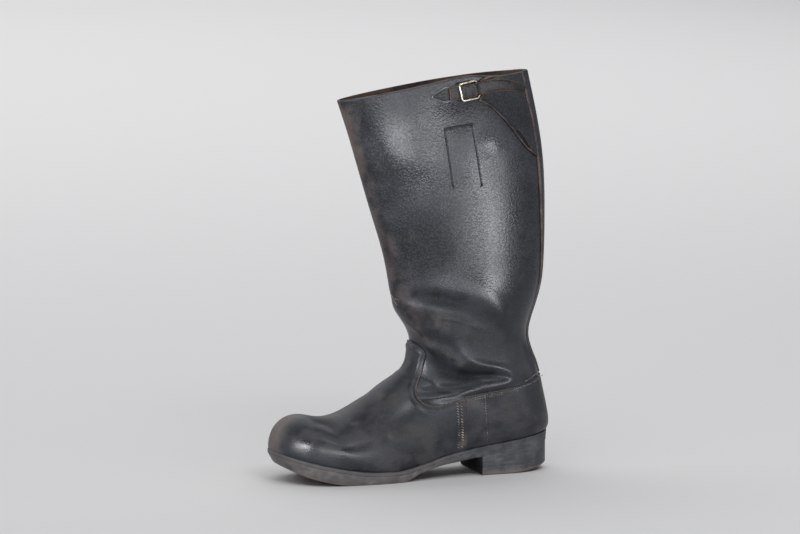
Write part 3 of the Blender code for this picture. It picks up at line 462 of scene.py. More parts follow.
for fold in (STRAP_HOLLOW, CALF_DOME, CALF_SHOULDER, PRESSED_PANEL, CALF_TROUGH, TROUGH_FLOOR, CALF_BULGE,
             ANKLE_SWELL, *ANKLE_WRINKLES, FRONT_ROLL, ANKLE_LIP, ANKLE_HOOK, HOOK_SHOULDER, ANKLE_POCKET,
             BAY_TROUGH, HEEL_CORD_HOLLOW, TONGUE_CREASE, VAMP_FLEX, VAMP_SWELL, TOE_DENT):
    LAST.fold(LATERAL, fold)

INNER_CALF_TROUGH = (
    Fold(-15.0, 189.0, -0.8, 6.0), Fold(4.0, 187.0, -2.6, 8.0), Fold(34.0, 181.0, -3.4, 9.0),
    Fold(64.0, 176.0, -2.8, 9.0), Fold(92.0, 166.0, -1.0, 9.0),
)
INNER_ANKLE_ROLL = (
    Fold(2.0, 166.0, 1.4, 8.0), Fold(30.0, 158.0, 2.4, 9.0), Fold(62.0, 146.0, 2.6, 10.0),
    Fold(96.0, 134.0, 1.2, 10.0),
)
INNER_ANKLE_TROUGH = (
    Fold(10.0, 140.0, -1.2, 7.0), Fold(34.0, 130.0, -3.0, 7.5), Fold(62.0, 119.0, -3.2, 7.0),
    Fold(88.0, 112.0, -1.4, 6.0),
)
INNER_BAY_ROLL = (Fold(14.0, 94.0, 0.8, 6.0), Fold(38.0, 99.0, 2.0, 7.0), Fold(70.0, 101.0, 1.2, 7.0))
INNER_VAMP_FLEX = (
    Fold(-40.0, 84.0, -1.0, 9.0), Fold(-50.0, 66.0, -1.8, 9.0), Fold(-54.0, 46.0, -0.6, 9.0),
)
for fold in (INNER_CALF_TROUGH, INNER_ANKLE_ROLL, INNER_ANKLE_TROUGH, INNER_BAY_ROLL, INNER_VAMP_FLEX):
    LAST.fold(MEDIAL, fold)
LAST.set_folds()


Net = namedtuple("Net", "t s faces inside points")
SNAP = 0.04
WELD = 0.002
TRIM_MARGIN = 6.0
FAR = 100.0


def score(work, layers, line, level):
    """Cuts a net's faces along the line where one of its layers has that level."""
    on_line = []
    for vert in work.verts:
        if abs(vert[line] - level) < SNAP:
            vert[line] = level
            on_line.append(vert)
    for edge in list(work.edges):
        first, second = edge.verts
        a, b = first[line] - level, second[line] - level
        if a * b < 0:
            share = a / (a - b)
            mixed = [first[layer] + share * (second[layer] - first[layer]) for layer in layers]
            _, vert = bmesh.utils.edge_split(edge, first, share)
            for layer, value in zip(layers, mixed):
                vert[layer] = value
            vert[line] = level
            on_line.append(vert)
    bmesh.ops.connect_verts(work, verts=on_line)


def cut_out(t, s, *fences):
    """A piece of the last's surface as a net of faces, scored along lines and trimmed to its outline.

    A fence is a function that tells how far points lie inside a line, with the levels to score at.
    A fence whose first level is 0 trims away what lies outside it.
    """
    work = bmesh.new()
    names = ["station", "share"] + [f"fence{k}" for k in range(len(fences))]
    layers = [work.verts.layers.float.new(name) for name in names]
    t, s = np.meshgrid(t, s, indexing="ij")
    spots = LAST.at(t, s)
    values = [t, s] + [inside(spots) for inside, _ in fences]
    keep = np.ones(t.shape, bool)
    for (_, levels), value in zip(fences, values[2:]):
        if levels[0] == 0:
            keep &= value > -TRIM_MARGIN
    verts = {}
    for i, j in zip(*np.nonzero(keep)):
        vert = work.verts.new(spots[i, j])
        for layer, value in zip(layers, values):
            vert[layer] = value[i, j]
        verts[i, j] = vert
    for i, j in list(verts):
        corners = [verts.get(c) for c in ((i, j), (i + 1, j), (i + 1, j + 1), (i, j + 1))]
        if all(corners):
            work.faces.new(corners)
    for (_, levels), layer in zip(fences, layers[2:]):
        for level in levels:
            score(work, layers, layer, level)
        if levels[0] == 0:
            outside = [v for v in work.verts if v[layer] < -1e-6]
            bmesh.ops.delete(work, geom=outside, context="VERTS")
    loose = [v for v in work.verts if not v.link_faces]
    bmesh.ops.delete(work, geom=loose, context="VERTS")
    bmesh.ops.triangulate(work, faces=[f for f in work.faces if len(f.verts) > 4])
    placed = LAST.at(*(np.array([v[layer] for v in work.verts]) for layer in layers[:2]))
    for vert, spot in zip(work.verts, placed):
        vert.co = spot
    bmesh.ops.remove_doubles(work, verts=work.verts, dist=WELD)
    work.verts.index_update()
    found = [np.array([v[layer] for v in work.verts]) for layer in layers]
    faces = [[v.index for v in face.verts] for face in work.faces]
    work.free()
    return Net(found[0], found[1], faces, found[2:], LAST.at(found[0], found[1]))


# Places that wear has rubbed brown, with a painted highlight in that brown down the shaft's front edge,
# and places where the polish has lasted or, below 0, gone dull, which is partly painted shade
Spot = namedtuple("Spot", "x z reach strength")
RUBS_AND_SHEEN = {
    LATERAL: (
        Spot(-147.0, 44.0, 26.0, 1.0), Spot(-134.0, 60.0, 20.0, 0.3), Spot(-120.0, 66.0, 14.0, 0.35),
        Spot(-78.0, 66.0, 12.0, 0.5), Spot(-66.0, 60.0, 9.0, 0.4), Spot(-32.4, 49.7, 6.0, 0.6),
        Spot(-84.0, 49.0, 3.0, 0.7), Spot(-30.0, 88.0, 14.0, 0.45), Spot(49.5, 36.0, 6.0, 0.8),
        Spot(48.5, 48.0, 6.0, 0.6), Spot(8.0, 150.0, 10.0, 0.4), Spot(20.0, 140.0, 10.0, 0.35),
        Spot(34.0, 130.0, 9.0, 0.35), Spot(46.0, 121.0, 8.0, 0.35), Spot(58.0, 114.0, 6.0, 0.3),
        Spot(20.0, 172.0, 20.0, 0.45), Spot(48.0, 162.0, 20.0, 0.35), Spot(-8.0, 190.0, 16.0, 0.6),
        # Spot(-69, 384) to Spot(-50, 326) paint a highlight down the shaft's front edge in the rubbed
        # brown
        Spot(0.0, 169.0, 11.0, 0.6), Spot(-69.0, 384.0, 8.0, 0.36), Spot(-64.5, 370.0, 8.0, 0.4),
        Spot(-60.0, 356.0, 8.0, 0.36), Spot(-55.0, 341.0, 8.0, 0.3), Spot(-50.0, 326.0, 8.0, 0.22),
        Spot(-4.0, 222.0, 22.0, 0.25), Spot(-14.0, 252.0, 20.0, 0.2), Spot(118.0, 70.0, 9.0, 0.5),
        Spot(134.0, 58.0, 9.0, 0.5),
    ),
    MEDIAL: (
        Spot(-136.0, 54.0, 20.0, 0.8), Spot(20.0, 160.0, 26.0, 0.6), Spot(60.0, 145.0, 20.0, 0.5),
        Spot(120.0, 80.0, 18.0, 0.4),
    ),
}
SHINES = {
    LATERAL: (
        Spot(-38.0, 372.0, 18.0, 0.6), Spot(-22.0, 346.0, 24.0, 0.8), Spot(4.0, 352.0, 26.0, 0.9),
        Spot(24.0, 380.0, 20.0, 0.7), Spot(8.0, 318.0, 22.0, 0.6), Spot(84.0, 350.0, 16.0, 0.9),
        Spot(66.0, 326.0, 20.0, 0.6), Spot(71.0, 298.0, 20.0, 0.8), Spot(76.0, 270.0, 20.0, 0.9),
        Spot(80.0, 242.0, 18.0, 0.6), Spot(82.0, 214.0, 16.0, 0.5), Spot(78.0, 200.0, 10.0, 0.8),
        Spot(6.0, 161.0, 7.0, 0.8), Spot(49.0, 134.0, 5.0, 0.4), Spot(60.0, 123.0, 6.0, 0.35),
        Spot(74.0, 118.6, 7.0, 0.35), Spot(88.0, 115.6, 7.0, 0.35), Spot(100.0, 110.0, 7.0, 0.35),
        Spot(102.0, 100.0, 6.0, 0.3), Spot(84.0, 96.0, 7.0, 0.3), Spot(56.0, 91.0, 7.0, 0.4),
        Spot(30.0, 87.0, 12.0, 0.6), Spot(-120.0, 43.0, 13.0, 1.0), Spot(-84.0, 36.0, 12.0, 0.8),
        Spot(-12.0, 79.0, 12.0, 0.7), Spot(12.0, 52.0, 30.0, -0.6), Spot(-28.0, 42.0, 24.0, -0.7),
        Spot(46.0, 62.0, 20.0, -0.8), Spot(104.0, 66.0, 30.0, -0.6), Spot(96.0, 386.0, 24.0, -0.6),
        Spot(120.0, 372.0, 22.0, -0.6), Spot(-100.0, 62.0, 16.0, -0.8), Spot(-52.0, 66.0, 16.0, -0.8),
        Spot(8.0, 264.0, 30.0, -0.9), Spot(-8.0, 226.0, 28.0, -1.0), Spot(26.0, 236.0, 20.0, -0.7),
        Spot(22.0, 143.0, 12.0, -0.9), Spot(36.0, 133.0, 10.0, -0.9), Spot(38.0, 160.0, 26.0, -0.6),
        Spot(70.0, 146.0, 22.0, -0.8), Spot(84.0, 136.0, 18.0, -0.8), Spot(34.0, 103.0, 14.0, -0.8),
        Spot(54.0, 103.0, 12.0, -0.8),
    ),
    MEDIAL: (
        Spot(0.0, 340.0, 40.0, 0.8), Spot(70.0, 255.0, 45.0, 0.8), Spot(60.0, 150.0, 25.0, 0.6),
        Spot(-110.0, 44.0, 22.0, 0.8),
    ),
}


def spread(points, spots):
    """How strongly the spots of both sides reach each point, from -1 to 1."""
    total = np.zeros(len(points))
    for side, rows in spots.items():
        for spot, middle in zip(rows, LAST.path(np.array(rows), side)):
            away = np.linalg.norm(points - middle, axis=1)
            total += spot.strength * np.exp(-((away / spot.reach) ** 2))
    return np.clip(total, -1, 1)


def into_scene(name, data):
    thing = bpy.data.objects.new(name, data)
    bpy.context.scene.collection.objects.link(thing)
    return thing


def new_piece(name, points, faces, material, sharp_angle=45):
    """An object whose place is in its mesh, from points in the last's millimetres."""
    mesh = bpy.data.meshes.new(name)
    mesh.from_pydata(((points + PLACE) * MM).tolist(), [], [list(map(int, face)) for face in faces])
    mesh.shade_smooth()
    mesh.set_sharp_from_angle(angle=np.radians(sharp_angle))
    mesh.materials.append(material)
    return into_scene(name, mesh)


def paint(piece, name, values):
    """A value for each point of a piece, for its material to read."""
    kind, key = ("FLOAT", "value") if np.ndim(values) == 1 else ("FLOAT_VECTOR", "vector")
    attribute = piece.data.attributes.new(name, kind, "POINT")
    attribute.data.foreach_set(key, np.asarray(values, np.float32).ravel())


# The shaft's front line is rubbed brown from the rim down to the ankle, and the same brown paints a
# highlight along it
FRONT_RUB_AND_SHEEN_SHARE = 0.10
FRONT_RUB_AND_SHEEN_STRENGTH = 0.6
FRONT_RUB_AND_SHEEN_LOW_Z = 185.0
FRONT_RUB_AND_SHEEN_FADE = 30.0

# The foot was boned smooth, and the pebble of the hide is left on the calf
GRAIN_LOW_Z = 160.0
GRAIN_FADE = 60.0
SMOOTH_GRAIN = 0.4


def rim_of(faces):
    """Edges that only one face has, in that face's own direction."""
    edges = {(a, b) for face in faces for a, b in zip(face, face[1:] + face[:1])}
    return [(a, b) for a, b in edges if (b, a) not in edges]


def leather_piece(name, net, face_lift, flesh_lift, material, bare):
    """A closed piece of leather on the last: its face, its flesh side and the cut edge between them.

    Bare tells how far the black has worn off each point of its face.
    """
    count = len(net.t)
    layers = []
    for lift in (face_lift, flesh_lift):
        points = LAST.at(net.t, net.s, np.broadcast_to(lift, count))
        hem = ((np.abs(net.s) > 1 - 1e-6) & (net.t < HEEL_KNOT - 1e-6)) | (net.t < 1e-6)
        points[hem, 2] = seat(points[hem, 0])
        layers.append(points)
    cut_edge = rim_of(net.faces)
    faces = list(net.faces)
    faces += [[i + count for i in reversed(face)] for face in net.faces]
    faces += [[b, a, a + count, b + count] for a, b in cut_edge]
    points = np.concatenate(layers)
    piece = new_piece(name, points, faces, material)
    paint(piece, "raw", np.concatenate([np.broadcast_to(bare, count), np.ones(count)]))
    # Down the front line the rubbed brown is partly wear and partly a painted highlight
    front_line = np.tile(np.exp(-((net.s / FRONT_RUB_AND_SHEEN_SHARE) ** 2)), 2)
    shaft = ramp(points[:, 2], FRONT_RUB_AND_SHEEN_LOW_Z, FRONT_RUB_AND_SHEEN_FADE)
    paint(piece, "rub_and_sheen", np.clip(spread(points, RUBS_AND_SHEEN) + FRONT_RUB_AND_SHEEN_STRENGTH * front_line * shaft, 0, 1))
    paint(piece, "shine", spread(points, SHINES))
    paint(piece, "grain", np.clip((points[:, 2] - GRAIN_LOW_Z) / GRAIN_FADE, SMOOTH_GRAIN, 1))
    rise = LAST.read(LAST.rise, net.t, net.s)[:, 0]
    paint(piece, "rise", np.concatenate([rise, rise]))
    return piece


class Value:
    """A socket of a tree's nodes, so that maths on it reads as an expression."""

    def __init__(self, nodes, socket):
        self.nodes, self.socket = nodes, socket

    def math(self, operation, first, second):
        return self.nodes.node("ShaderNodeMath", {"operation": operation}, {0: first, 1: second})

    def __add__(self, other):
        return self.math("ADD", self, other)

    def __sub__(self, other):
        return self.math("SUBTRACT", self, other)

    def __rsub__(self, other):
        return self.math("SUBTRACT", other, self)

    def __mul__(self, other):
        return self.math("MULTIPLY", self, other)

    __radd__ = __add__
    __rmul__ = __mul__


class Nodes:
    """A tree of nodes under construction."""

    def __init__(self, tree):
        self.tree = tree

    def node(self, kind, settings, sockets, output=0):
        """Any node: its settings are set first, then its sockets' values or links."""
        made = self.tree.nodes.new(kind)
        for key, value in settings.items():
            setattr(made, key, value)
        for key, value in sockets.items():
            self.put(made.inputs[key], value)
        return Value(self, made.outputs[output])

    def put(self, socket, value):
        if isinstance(value, Value):
            self.tree.links.new(value.socket, socket)
        else:
            socket.default_value = value


class Finish(Nodes):
    """A material under construction."""

    def __init__(self, name):
        self.material = bpy.data.materials.new(name)
        self.material.use_nodes = True
        super().__init__(self.material.node_tree)
        self.place = self.node("ShaderNodeTexCoord", {}, {}, "Object")

    def painted(self, name, output="Fac"):
        return self.node("ShaderNodeAttribute", {"attribute_name": name}, {}, output)

    def noise(self, scale, detail=3.0, stretch=(1, 1, 1), turn=(0, 0, 0), place=None):
        spot = self.node("ShaderNodeMapping", {}, {0: place or self.place, 2: turn, 3: stretch})
        return self.node("ShaderNodeTexNoise", {}, {"Vector": spot, "Scale": scale, "Detail": detail})

    def pebble(self, scale, smooth):
        settings = {"feature": "SMOOTH_F1"}
        sockets = {"Vector": self.place, "Scale": scale, "Smoothness": smooth}
        return self.node("ShaderNodeTexVoronoi", settings, sockets, "Distance")

    def between(self, value, low, high):
        settings = {"interpolation_type": "SMOOTHSTEP"}
        return self.node("ShaderNodeMapRange", settings, {0: value, 1: low, 2: high})

    def blend(self, share, first, second):
        settings = {"data_type": "RGBA"}
        return self.node("ShaderNodeMix", settings, {0: share, 6: first, 7: second}, 2)

    def done(self, color, roughness, height, depth, dull=None, **constants):
        """Sets the shader: what varies, the bump of that depth in metres, and plain values.

        Dull is the share of a matt surface of the same colour that lies over the glossy one.
        """
        shader = self.tree.nodes["Principled BSDF"]
        self.put(shader.inputs["Base Color"], color)
        self.put(shader.inputs["Roughness"], roughness)
        bump = self.node("ShaderNodeBump", {}, {"Strength": 1.0, "Distance": depth, "Height": height})
        self.put(shader.inputs["Normal"], bump)
        for key, value in constants.items():
            self.put(shader.inputs[key.replace("_", " ").title()], value)
        if dull is not None:
            sockets = {"Base Color": color, "Roughness": 0.9, "Specular IOR Level": 0.1, "Normal": bump}
            matt = self.node("ShaderNodeBsdfPrincipled", {}, sockets)
            glossy = Value(self, shader.outputs[0])
            both = self.node("ShaderNodeMixShader", {}, {0: dull, 1: glossy, 2: matt})
            self.put(self.tree.nodes["Material Output"].inputs["Surface"], both)
        return self.material


BLACK = (0.0044, 0.0051, 0.0068, 1.0)
BLOOM = (0.0105, 0.0128, 0.0170, 1.0)
RUBBED_BROWN_AND_SHEEN = (0.0720, 0.0550, 0.0500, 1.0)
STAIN_BROWN = (0.0480, 0.0420, 0.0415, 1.0)
RAW_BROWN = (0.0840, 0.0540, 0.0420, 1.0)
RAW_DARK = (0.0220, 0.0165, 0.0145, 1.0)
SCUFF_GREY = (0.1100, 0.1050, 0.1010, 1.0)
LEATHER_SHEEN = (0.92, 0.93, 1.0, 1.0)


def black_leather(name, gloss, bloom_share, wear):
    """Blacked cowhide: pebbled grain, a blue bloom, brown where it is rubbed and where a highlight is
    painted, and raw where it is cut.

    Wear is how far brown stains and pale specks show all over it.
    """
    leather = Finish(name)
    keys = ("raw", "rub_and_sheen", "shine", "rise", "grain")
    raw, rub_and_sheen, shine, rise, grain = (leather.painted(key) for key in keys)
    cloud = leather.noise(17.0, 4.0)
    patch = leather.noise(70.0, 5.0)
    smear = leather.noise(36.0, 6.0, (1.0, 1.0, 1.5), (0.4, 0.1, 0.7))
    speck = leather.noise(480.0, 3.0)
    bloom = leather.between(cloud * 0.6 + patch * 0.4, 0.42, 0.62) * bloom_share
    color = leather.blend(bloom, BLACK, BLOOM)
    # Rubbed brown, and the painted highlight down the shaft's front edge in the same brown
    worn = leather.between(rub_and_sheen + (patch - 0.5) * 1.1 + rise * 0.05, 0.25, 1.0)
    stain = leather.between(smear * 0.8 + patch * 0.2, 0.47, 0.62) * wear
    color = leather.blend(stain * 0.5, color, STAIN_BROWN)
    color = leather.blend(worn * 0.85, color, RUBBED_BROWN_AND_SHEEN)
    scratch = leather.noise(40.0, 4.0, (1.0, 1.0, 14.0), (0.5, 0.2, 0.3))
    hair = leather.noise(60.0, 3.0, (16.0, 16.0, 1.0), (0.2, 0.9, 0.1))
    scuffed = leather.between(scratch, 0.66, 0.76) + leather.between(hair, 0.70, 0.78)
    scuffed = scuffed * (0.10 + 0.3 * rub_and_sheen) + leather.between(speck, 0.68, 0.76) * wear * 0.6
    color = leather.blend(scuffed, color, SCUFF_GREY)
    edge = leather.blend(leather.between(patch * 0.8 + speck * 0.2, 0.40, 0.60), RAW_DARK, RAW_BROWN)
    color = leather.blend(leather.between(raw + (speck - 0.5) * 0.4, 0.35, 0.65), color, edge)
    cell = leather.pebble(500.0, 0.3)
    fine = leather.noise(1300.0, 3.0)
    # Creases are painted darker: a matt surface mixed into them below stands in for their shade
    crease = leather.between(rise * -1.0, 0.3, 3.0)
    roughness = gloss + 0.06 * bloom + 0.12 * worn + 0.30 * raw + 0.10 * (speck - 0.5) + 0.15 * crease
    roughness = roughness - 0.15 * shine + 0.08 * stain
    polish = leather.between(shine - crease, -0.6, 1.0) * 0.3
    valley = leather.between(cell, 0.30, 0.60) * grain
    # Below 0 the shine lays a matt surface over the polish: partly worn-off polish, partly painted shade
    matt = leather.between(shine * -1.0, 0.1, 1.0)
    dull = crease * 0.5 + matt * 0.27 + valley * 0.34 + stain * 0.15
    height = (cell * -0.5 + fine * 0.25) * grain + patch * 0.15
    return leather.done(color, roughness, height, 0.00030, dull, coat_weight=polish, coat_roughness=0.19,
                        specular_tint=LEATHER_SHEEN)


# A seam pressed into the calf: up, across and down again
PRESSED_SEAM = (Point(40.1, 306.6), Point(31.4, 368.5), Point(62.0, 372.8), Point(72.4, 308.6))
PRESSED_DEPTH = 0.75
PRESSED_HALF_WIDTH = 0.4
PRESSED_SLOPE = 0.8
PRESSED_LEVELS = (-2.4, -1.7, -1.2, -0.4, 0.4, 1.2, 1.7, 2.4)
pressed_rows = np.concatenate([np.linspace(a, b, 12) for a, b in zip(PRESSED_SEAM, PRESSED_SEAM[1:])])
pressed_path = LAST.path(pressed_rows, LATERAL)


def is_within(outline, x, z):
    """True for places inside an outline, seen from the side."""
    within = np.zeros(x.shape, bool)
    for (ax, az), (bx, bz) in zip(outline, np.roll(outline, -1, 0)):
        crosses = (az > z) != (bz > z)
        within ^= crosses & (x < ax + (bx - ax) * (z - az) / (bz - az if bz != az else 1e-9))
    return within


def inside_of(outline, paths):
    """How far points lie inside an outline whose cut edge follows these paths on the surface."""

    def inside(points):
        away = np.min([nearest(points, path)[0] for path in paths], axis=0)
        return np.where(is_within(outline, points[..., 0], points[..., 2]), away, -away)

    return inside


ANKLE_TRAVEL = 95
RIM_ROUND = 0.6
RIM_ROUND_REACH = 1.2
RIM_BARE_REACH = 1.8


def rim_round(net):
    """How far a net's points sink where the rim is rounded off."""
    return RIM_ROUND * (1 - ramp(KNOTS[-1] - net.t, 0, RIM_ROUND_REACH)) ** 2


rim_steps = KNOTS[-1] - np.array([2.2, 1.2, 0.5, 0.0])
ankle = HEEL_KNOT + ANKLE_TRAVEL
upper_stations = np.concatenate([
    np.linspace(0, HEEL_KNOT, 62, endpoint=False),
    np.linspace(HEEL_KNOT, ankle, 80, endpoint=False),
    np.linspace(ankle, KNOTS[-1] - 4, 80),
    rim_steps,
])
inside_pressed = inside_of(np.array(PRESSED_SEAM), [pressed_path])
upper_net = cut_out(
    upper_stations,
    np.linspace(-1, 1, 181),
    (lambda points: np.where(points[..., 1] < 0, inside_pressed(points), -FAR), PRESSED_LEVELS),
)
from_seam = nearest(upper_net.points, pressed_path)[0]
sunk = PRESSED_DEPTH * (1 - ramp(from_seam, PRESSED_HALF_WIDTH, PRESSED_SLOPE))
upper_bare = 1 - ramp(KNOTS[-1] - upper_net.t, 0, RIM_BARE_REACH)
shaft_leather = black_leather("shaft_leather", 0.29, 1.0, 0.15)
upper = leather_piece(
    "upper_leather", upper_net, -sunk - rim_round(upper_net), -WALL, shaft_leather, upper_bare
)
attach(upper, "root")
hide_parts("upper")

# The vamp
# Toe, vamp and tongue are one piece of the same cowhide, blocked over the foot and sewn down along its
# rear edge: up the side seam, round a bay under the ankle and up to the tongue's tip.

VAMP_LIFT = 0.1
VAMP_THICKNESS = 2.0
EDGE_ROUND = 0.7
SEAM_DEPTH = 0.3
SEAM_REACH = 0.6
BAY_SEAM_INSET = 2.2
SIDE_SEAM_DEPTH = 0.4
SIDE_SEAM_INSET = 6.8
SIDE_SEAM_REACH = 3.6
RAISED_BAND_RISE = 1.1
RAISED_BAND_INSET = 5.5
RAISED_BAND_REACH = 2.6
RAISED_BAND_END_X = 30.0
RAISED_BAND_FADE = 16.0
VAMP_BARE_TOP_Z = 122.0
VAMP_BARE_FADE = 14.0
VAMP_BARE_REACH = 2.2
VAMP_SIDE_SEAM = (Point(54.9, 20.0), Point(52.2, 83.8))
VAMP_BAY = (
    Point(52.2, 83.8), Point(31.4, 79.1), Point(17.1, 78.1), Point(8.0, 81.0), Point(2.4, 88.0),
    Point(3.7, 97.5), Point(9.6, 108.0), Point(13.4, 121.0), Point(14.6, 131.0), Point(9.8, 138.4),
    Point(-2.0, 148.0),
)
VAMP_FRONT = (Point(-30.0, 165.0), Point(-175.0, 165.0), Point(-175.0, 5.0), Point(54.9, 5.0))


def edge_round(inside):
    """How far a cut edge is rounded down."""
    return -EDGE_ROUND * (1 - ramp(inside, 0, EDGE_ROUND)) ** 2


def swell(inside, middle, reach):
    """A smooth ridge along an edge, 1 at its middle."""
    return np.exp(-(((inside - middle) / reach) ** 2))


vamp_bay = curve_through(VAMP_BAY, 6)
vamp_seam = np.linspace(VAMP_SIDE_SEAM[0], VAMP_SIDE_SEAM[1], 16)
vamp_edge = np.concatenate([vamp_seam, vamp_bay[1:]])
vamp_outline = np.concatenate([vamp_edge, np.array(VAMP_FRONT)])
vamp_paths = [LAST.path(vamp_edge, side) for side in (LATERAL, MEDIAL)]
vamp_net = cut_out(
    np.linspace(0, KNOTS[20], 190),
    np.linspace(-1, 1, 201),
    (inside_of(vamp_outline, vamp_paths), (0.0, 0.25, 0.7, 1.5, 2.2, 2.9)),
)
from_edge = vamp_net.inside[0]
seam_end = len(vamp_seam) - 1
to_bay = [nearest(vamp_net.points, path[seam_end:])[0] - from_edge for path in vamp_paths]
by_bay = 1 - ramp(np.min(to_bay, axis=0), 0, 4)
upright = np.clip((RAISED_BAND_END_X - vamp_net.points[:, 0]) / RAISED_BAND_FADE, 0, 1) * by_bay
raised_band = RAISED_BAND_RISE * swell(from_edge, RAISED_BAND_INSET, RAISED_BAND_REACH) * upright
bay_groove = SEAM_DEPTH * swell(from_edge, BAY_SEAM_INSET, SEAM_REACH) * by_bay
side_groove = SIDE_SEAM_DEPTH * swell(from_edge, SIDE_SEAM_INSET, SIDE_SEAM_REACH) * (1 - by_bay)
vamp_lift = VAMP_LIFT + VAMP_THICKNESS + edge_round(from_edge) * by_bay + raised_band
vamp_lift -= bay_groove + side_groove
low = np.clip((VAMP_BARE_TOP_Z - vamp_net.points[:, 2]) / VAMP_BARE_FADE, 0, 1)
vamp_bare = (1 - ramp(from_edge, 0, VAMP_BARE_REACH)) * low * (0.6 + 0.4 * by_bay)
foot_leather = black_leather("foot_leather", 0.38, 1.0, 0.75)
vamp = leather_piece("vamp_leather", vamp_net, vamp_lift, VAMP_LIFT, foot_leather, vamp_bare)
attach(vamp, "root")
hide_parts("vamp")

# The counter
# The stiff heel piece is cowhide too, wrapped round the heel behind the side seams and sewn along its
# top edge, with a line of stitches where its front part is joined.

COUNTER_LIFT = 0.1
COUNTER_THICKNESS = 1.6
COUNTER_SEAM_INSET = 2.3
JOIN_HALF_WIDTH = 1.3
JOIN_FLOOR = 0.4
COUNTER_TOP = (
    Point(52.7, 86.2), Point(79.7, 90.5), Point(106.0, 94.0), Point(131.0, 98.6), Point(165.0, 106.0),
)
JOIN_LINE = (Point(73.8, 89.0), Point(75.6, 61.0), Point(79.1, 34.0))
COUNTER_FOOT = Point(55.1, 20.0)
COUNTER_UNDER = (Point(170.0, 5.0), Point(55.1, 5.0), COUNTER_FOOT)
counter_top = curve_through(COUNTER_TOP, 8)
counter_front = np.linspace(COUNTER_FOOT, COUNTER_TOP[0], 14)
counter_edge = np.concatenate([counter_front, counter_top[1:]])
counter_outline = np.concatenate([counter_edge, np.array(COUNTER_UNDER)])
counter_paths = [LAST.path(counter_edge, side) for side in (LATERAL, MEDIAL)]
join_rows = curve_through(JOIN_LINE, 8)
join_path = LAST.path(join_rows, LATERAL)
counter_net = cut_out(
    np.linspace(KNOTS[8], KNOTS[19], 120),
    np.linspace(-1, 1, 191),
    (inside_of(counter_outline, counter_paths), (0.0, 0.25, 0.7, 1.6, 2.3, 3.0)),
    (lambda points: nearest(points, join_path)[0], (JOIN_FLOOR, JOIN_HALF_WIDTH)),
)
from_edge = counter_net.inside[0]
from_join = nearest(counter_net.points, join_path)[0]
front_end = len(counter_front) - 1
to_top = [nearest(counter_net.points, path[front_end:])[0] - from_edge for path in counter_paths]
by_top = 1 - ramp(np.min(to_top, axis=0), 0, 3)
join_groove = 1 - ramp(from_join, JOIN_FLOOR, JOIN_HALF_WIDTH - JOIN_FLOOR)
counter_lift = COUNTER_LIFT + COUNTER_THICKNESS + edge_round(from_edge) * by_top
counter_lift -= SEAM_DEPTH * swell(from_edge, COUNTER_SEAM_INSET, SEAM_REACH) * by_top
counter_lift -= SEAM_DEPTH * join_groove
counter = leather_piece("counter_leather", counter_net, counter_lift, COUNTER_LIFT, foot_leather, 0.0)
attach(counter, "root")
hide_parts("counter")

# The back strip
# A strip of thinner hide covers the back seam from the counter to the rim, sewn along both edges. Its
# cut edges are worn to bare brown leather.

STRIP_LIFT = 0.1
STRIP_THICKNESS = 1.9
STRIP_FRONT_X = 90.0
STRIP_SEAM_DEPTH = 0.4
STRIP_SEAM_INSET = 2.1
STRIP_BARE_REACH = 3.4
STRIP_BARE_FADE = 40.0
STRIP_BARE_LEAST = 0.3
Strip = namedtuple("Strip", "z half_width")
STRIP = (
    Strip(103.0, 7.8),
    Strip(180.0, 10.5),
    Strip(260.0, 13.0),
    Strip(340.0, 13.4),
    Strip(440.0, 12.6),
)


def inside_strip(points):
    """How far points of the back of the shaft lie inside the strip's edges."""
    sideways = table(STRIP, "half_width", points[..., 2]) - np.abs(points[..., 1])
    upright = points[..., 2] - STRIP[0].z
    at_back = np.where(points[..., 0] > STRIP_FRONT_X, FAR, -FAR)
    return np.minimum(np.minimum(sideways, upright), at_back)


strip_net = cut_out(
    np.concatenate([np.linspace(KNOTS[16], KNOTS[-1] - 3, 130), rim_steps]),
    np.concatenate([np.linspace(-1, -0.8, 26), np.linspace(0.8, 1, 26)]),
    (inside_strip, (0.0, 0.25, 0.7, 1.5, 2.1, 2.7)),
)
from_edge = strip_net.inside[0]
seam_groove = STRIP_SEAM_DEPTH * swell(from_edge, STRIP_SEAM_INSET, SEAM_REACH)
strip_lift = STRIP_LIFT + STRIP_THICKNESS + edge_round(from_edge) - seam_groove - rim_round(strip_net)
strip_bare = 1 - ramp(from_edge, 0, STRIP_BARE_REACH)
strip_bare = strip_bare * np.clip((strip_net.t - KNOTS[20]) / STRIP_BARE_FADE, STRIP_BARE_LEAST, 1)
back_strip = leather_piece(
    "back_strip_leather", strip_net, strip_lift, STRIP_LIFT, shaft_leather, strip_bare
)
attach(back_strip, "root")
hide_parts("back_strip")

# The calf flap
# Behind a curved slit on the outer side the shaft's corner is a flap of the same hide, which the strap
# draws in. A small tab is sewn on where the slit ends.

FLAP_LIFT = 0.1
FLAP_THICKNESS = 1.8
FLAP_SLIT = (
    Point(150.0, 331.5), Point(138.8, 335.8), Point(125.2, 345.8), Point(116.4, 355.7),
    Point(107.9, 365.6), Point(100.7, 374.4), Point(92.5, 382.0), Point(85.5, 388.1), Point(78.6, 393.0),
    Point(69.3, 396.5),
)
FLAP_END = (Point(73.8, 402.0), Point(73.8, 412.0), Point(70.8, 418.0), Point(85.5, 428.0))
FLAP_CORNER = (Point(86.0, 450.0), Point(150.0, 450.0))
SLIT_TAB = (Point(110.5, 366.5), Point(115.8, 366.0), Point(125.0, 355.5), Point(132.8, 344.0))
TAB_HALF_WIDTH = 3.0
TAB_THICKNESS = 2.3
TAB_SLOPE = 0.6
SLIT_LIFT = 0.9
SLIT_LIFT_REACH = 2.5
SLIT_BARE_REACH = 1.6
flap_edge = np.concatenate([curve_through(FLAP_SLIT, 4), np.array(FLAP_END)])
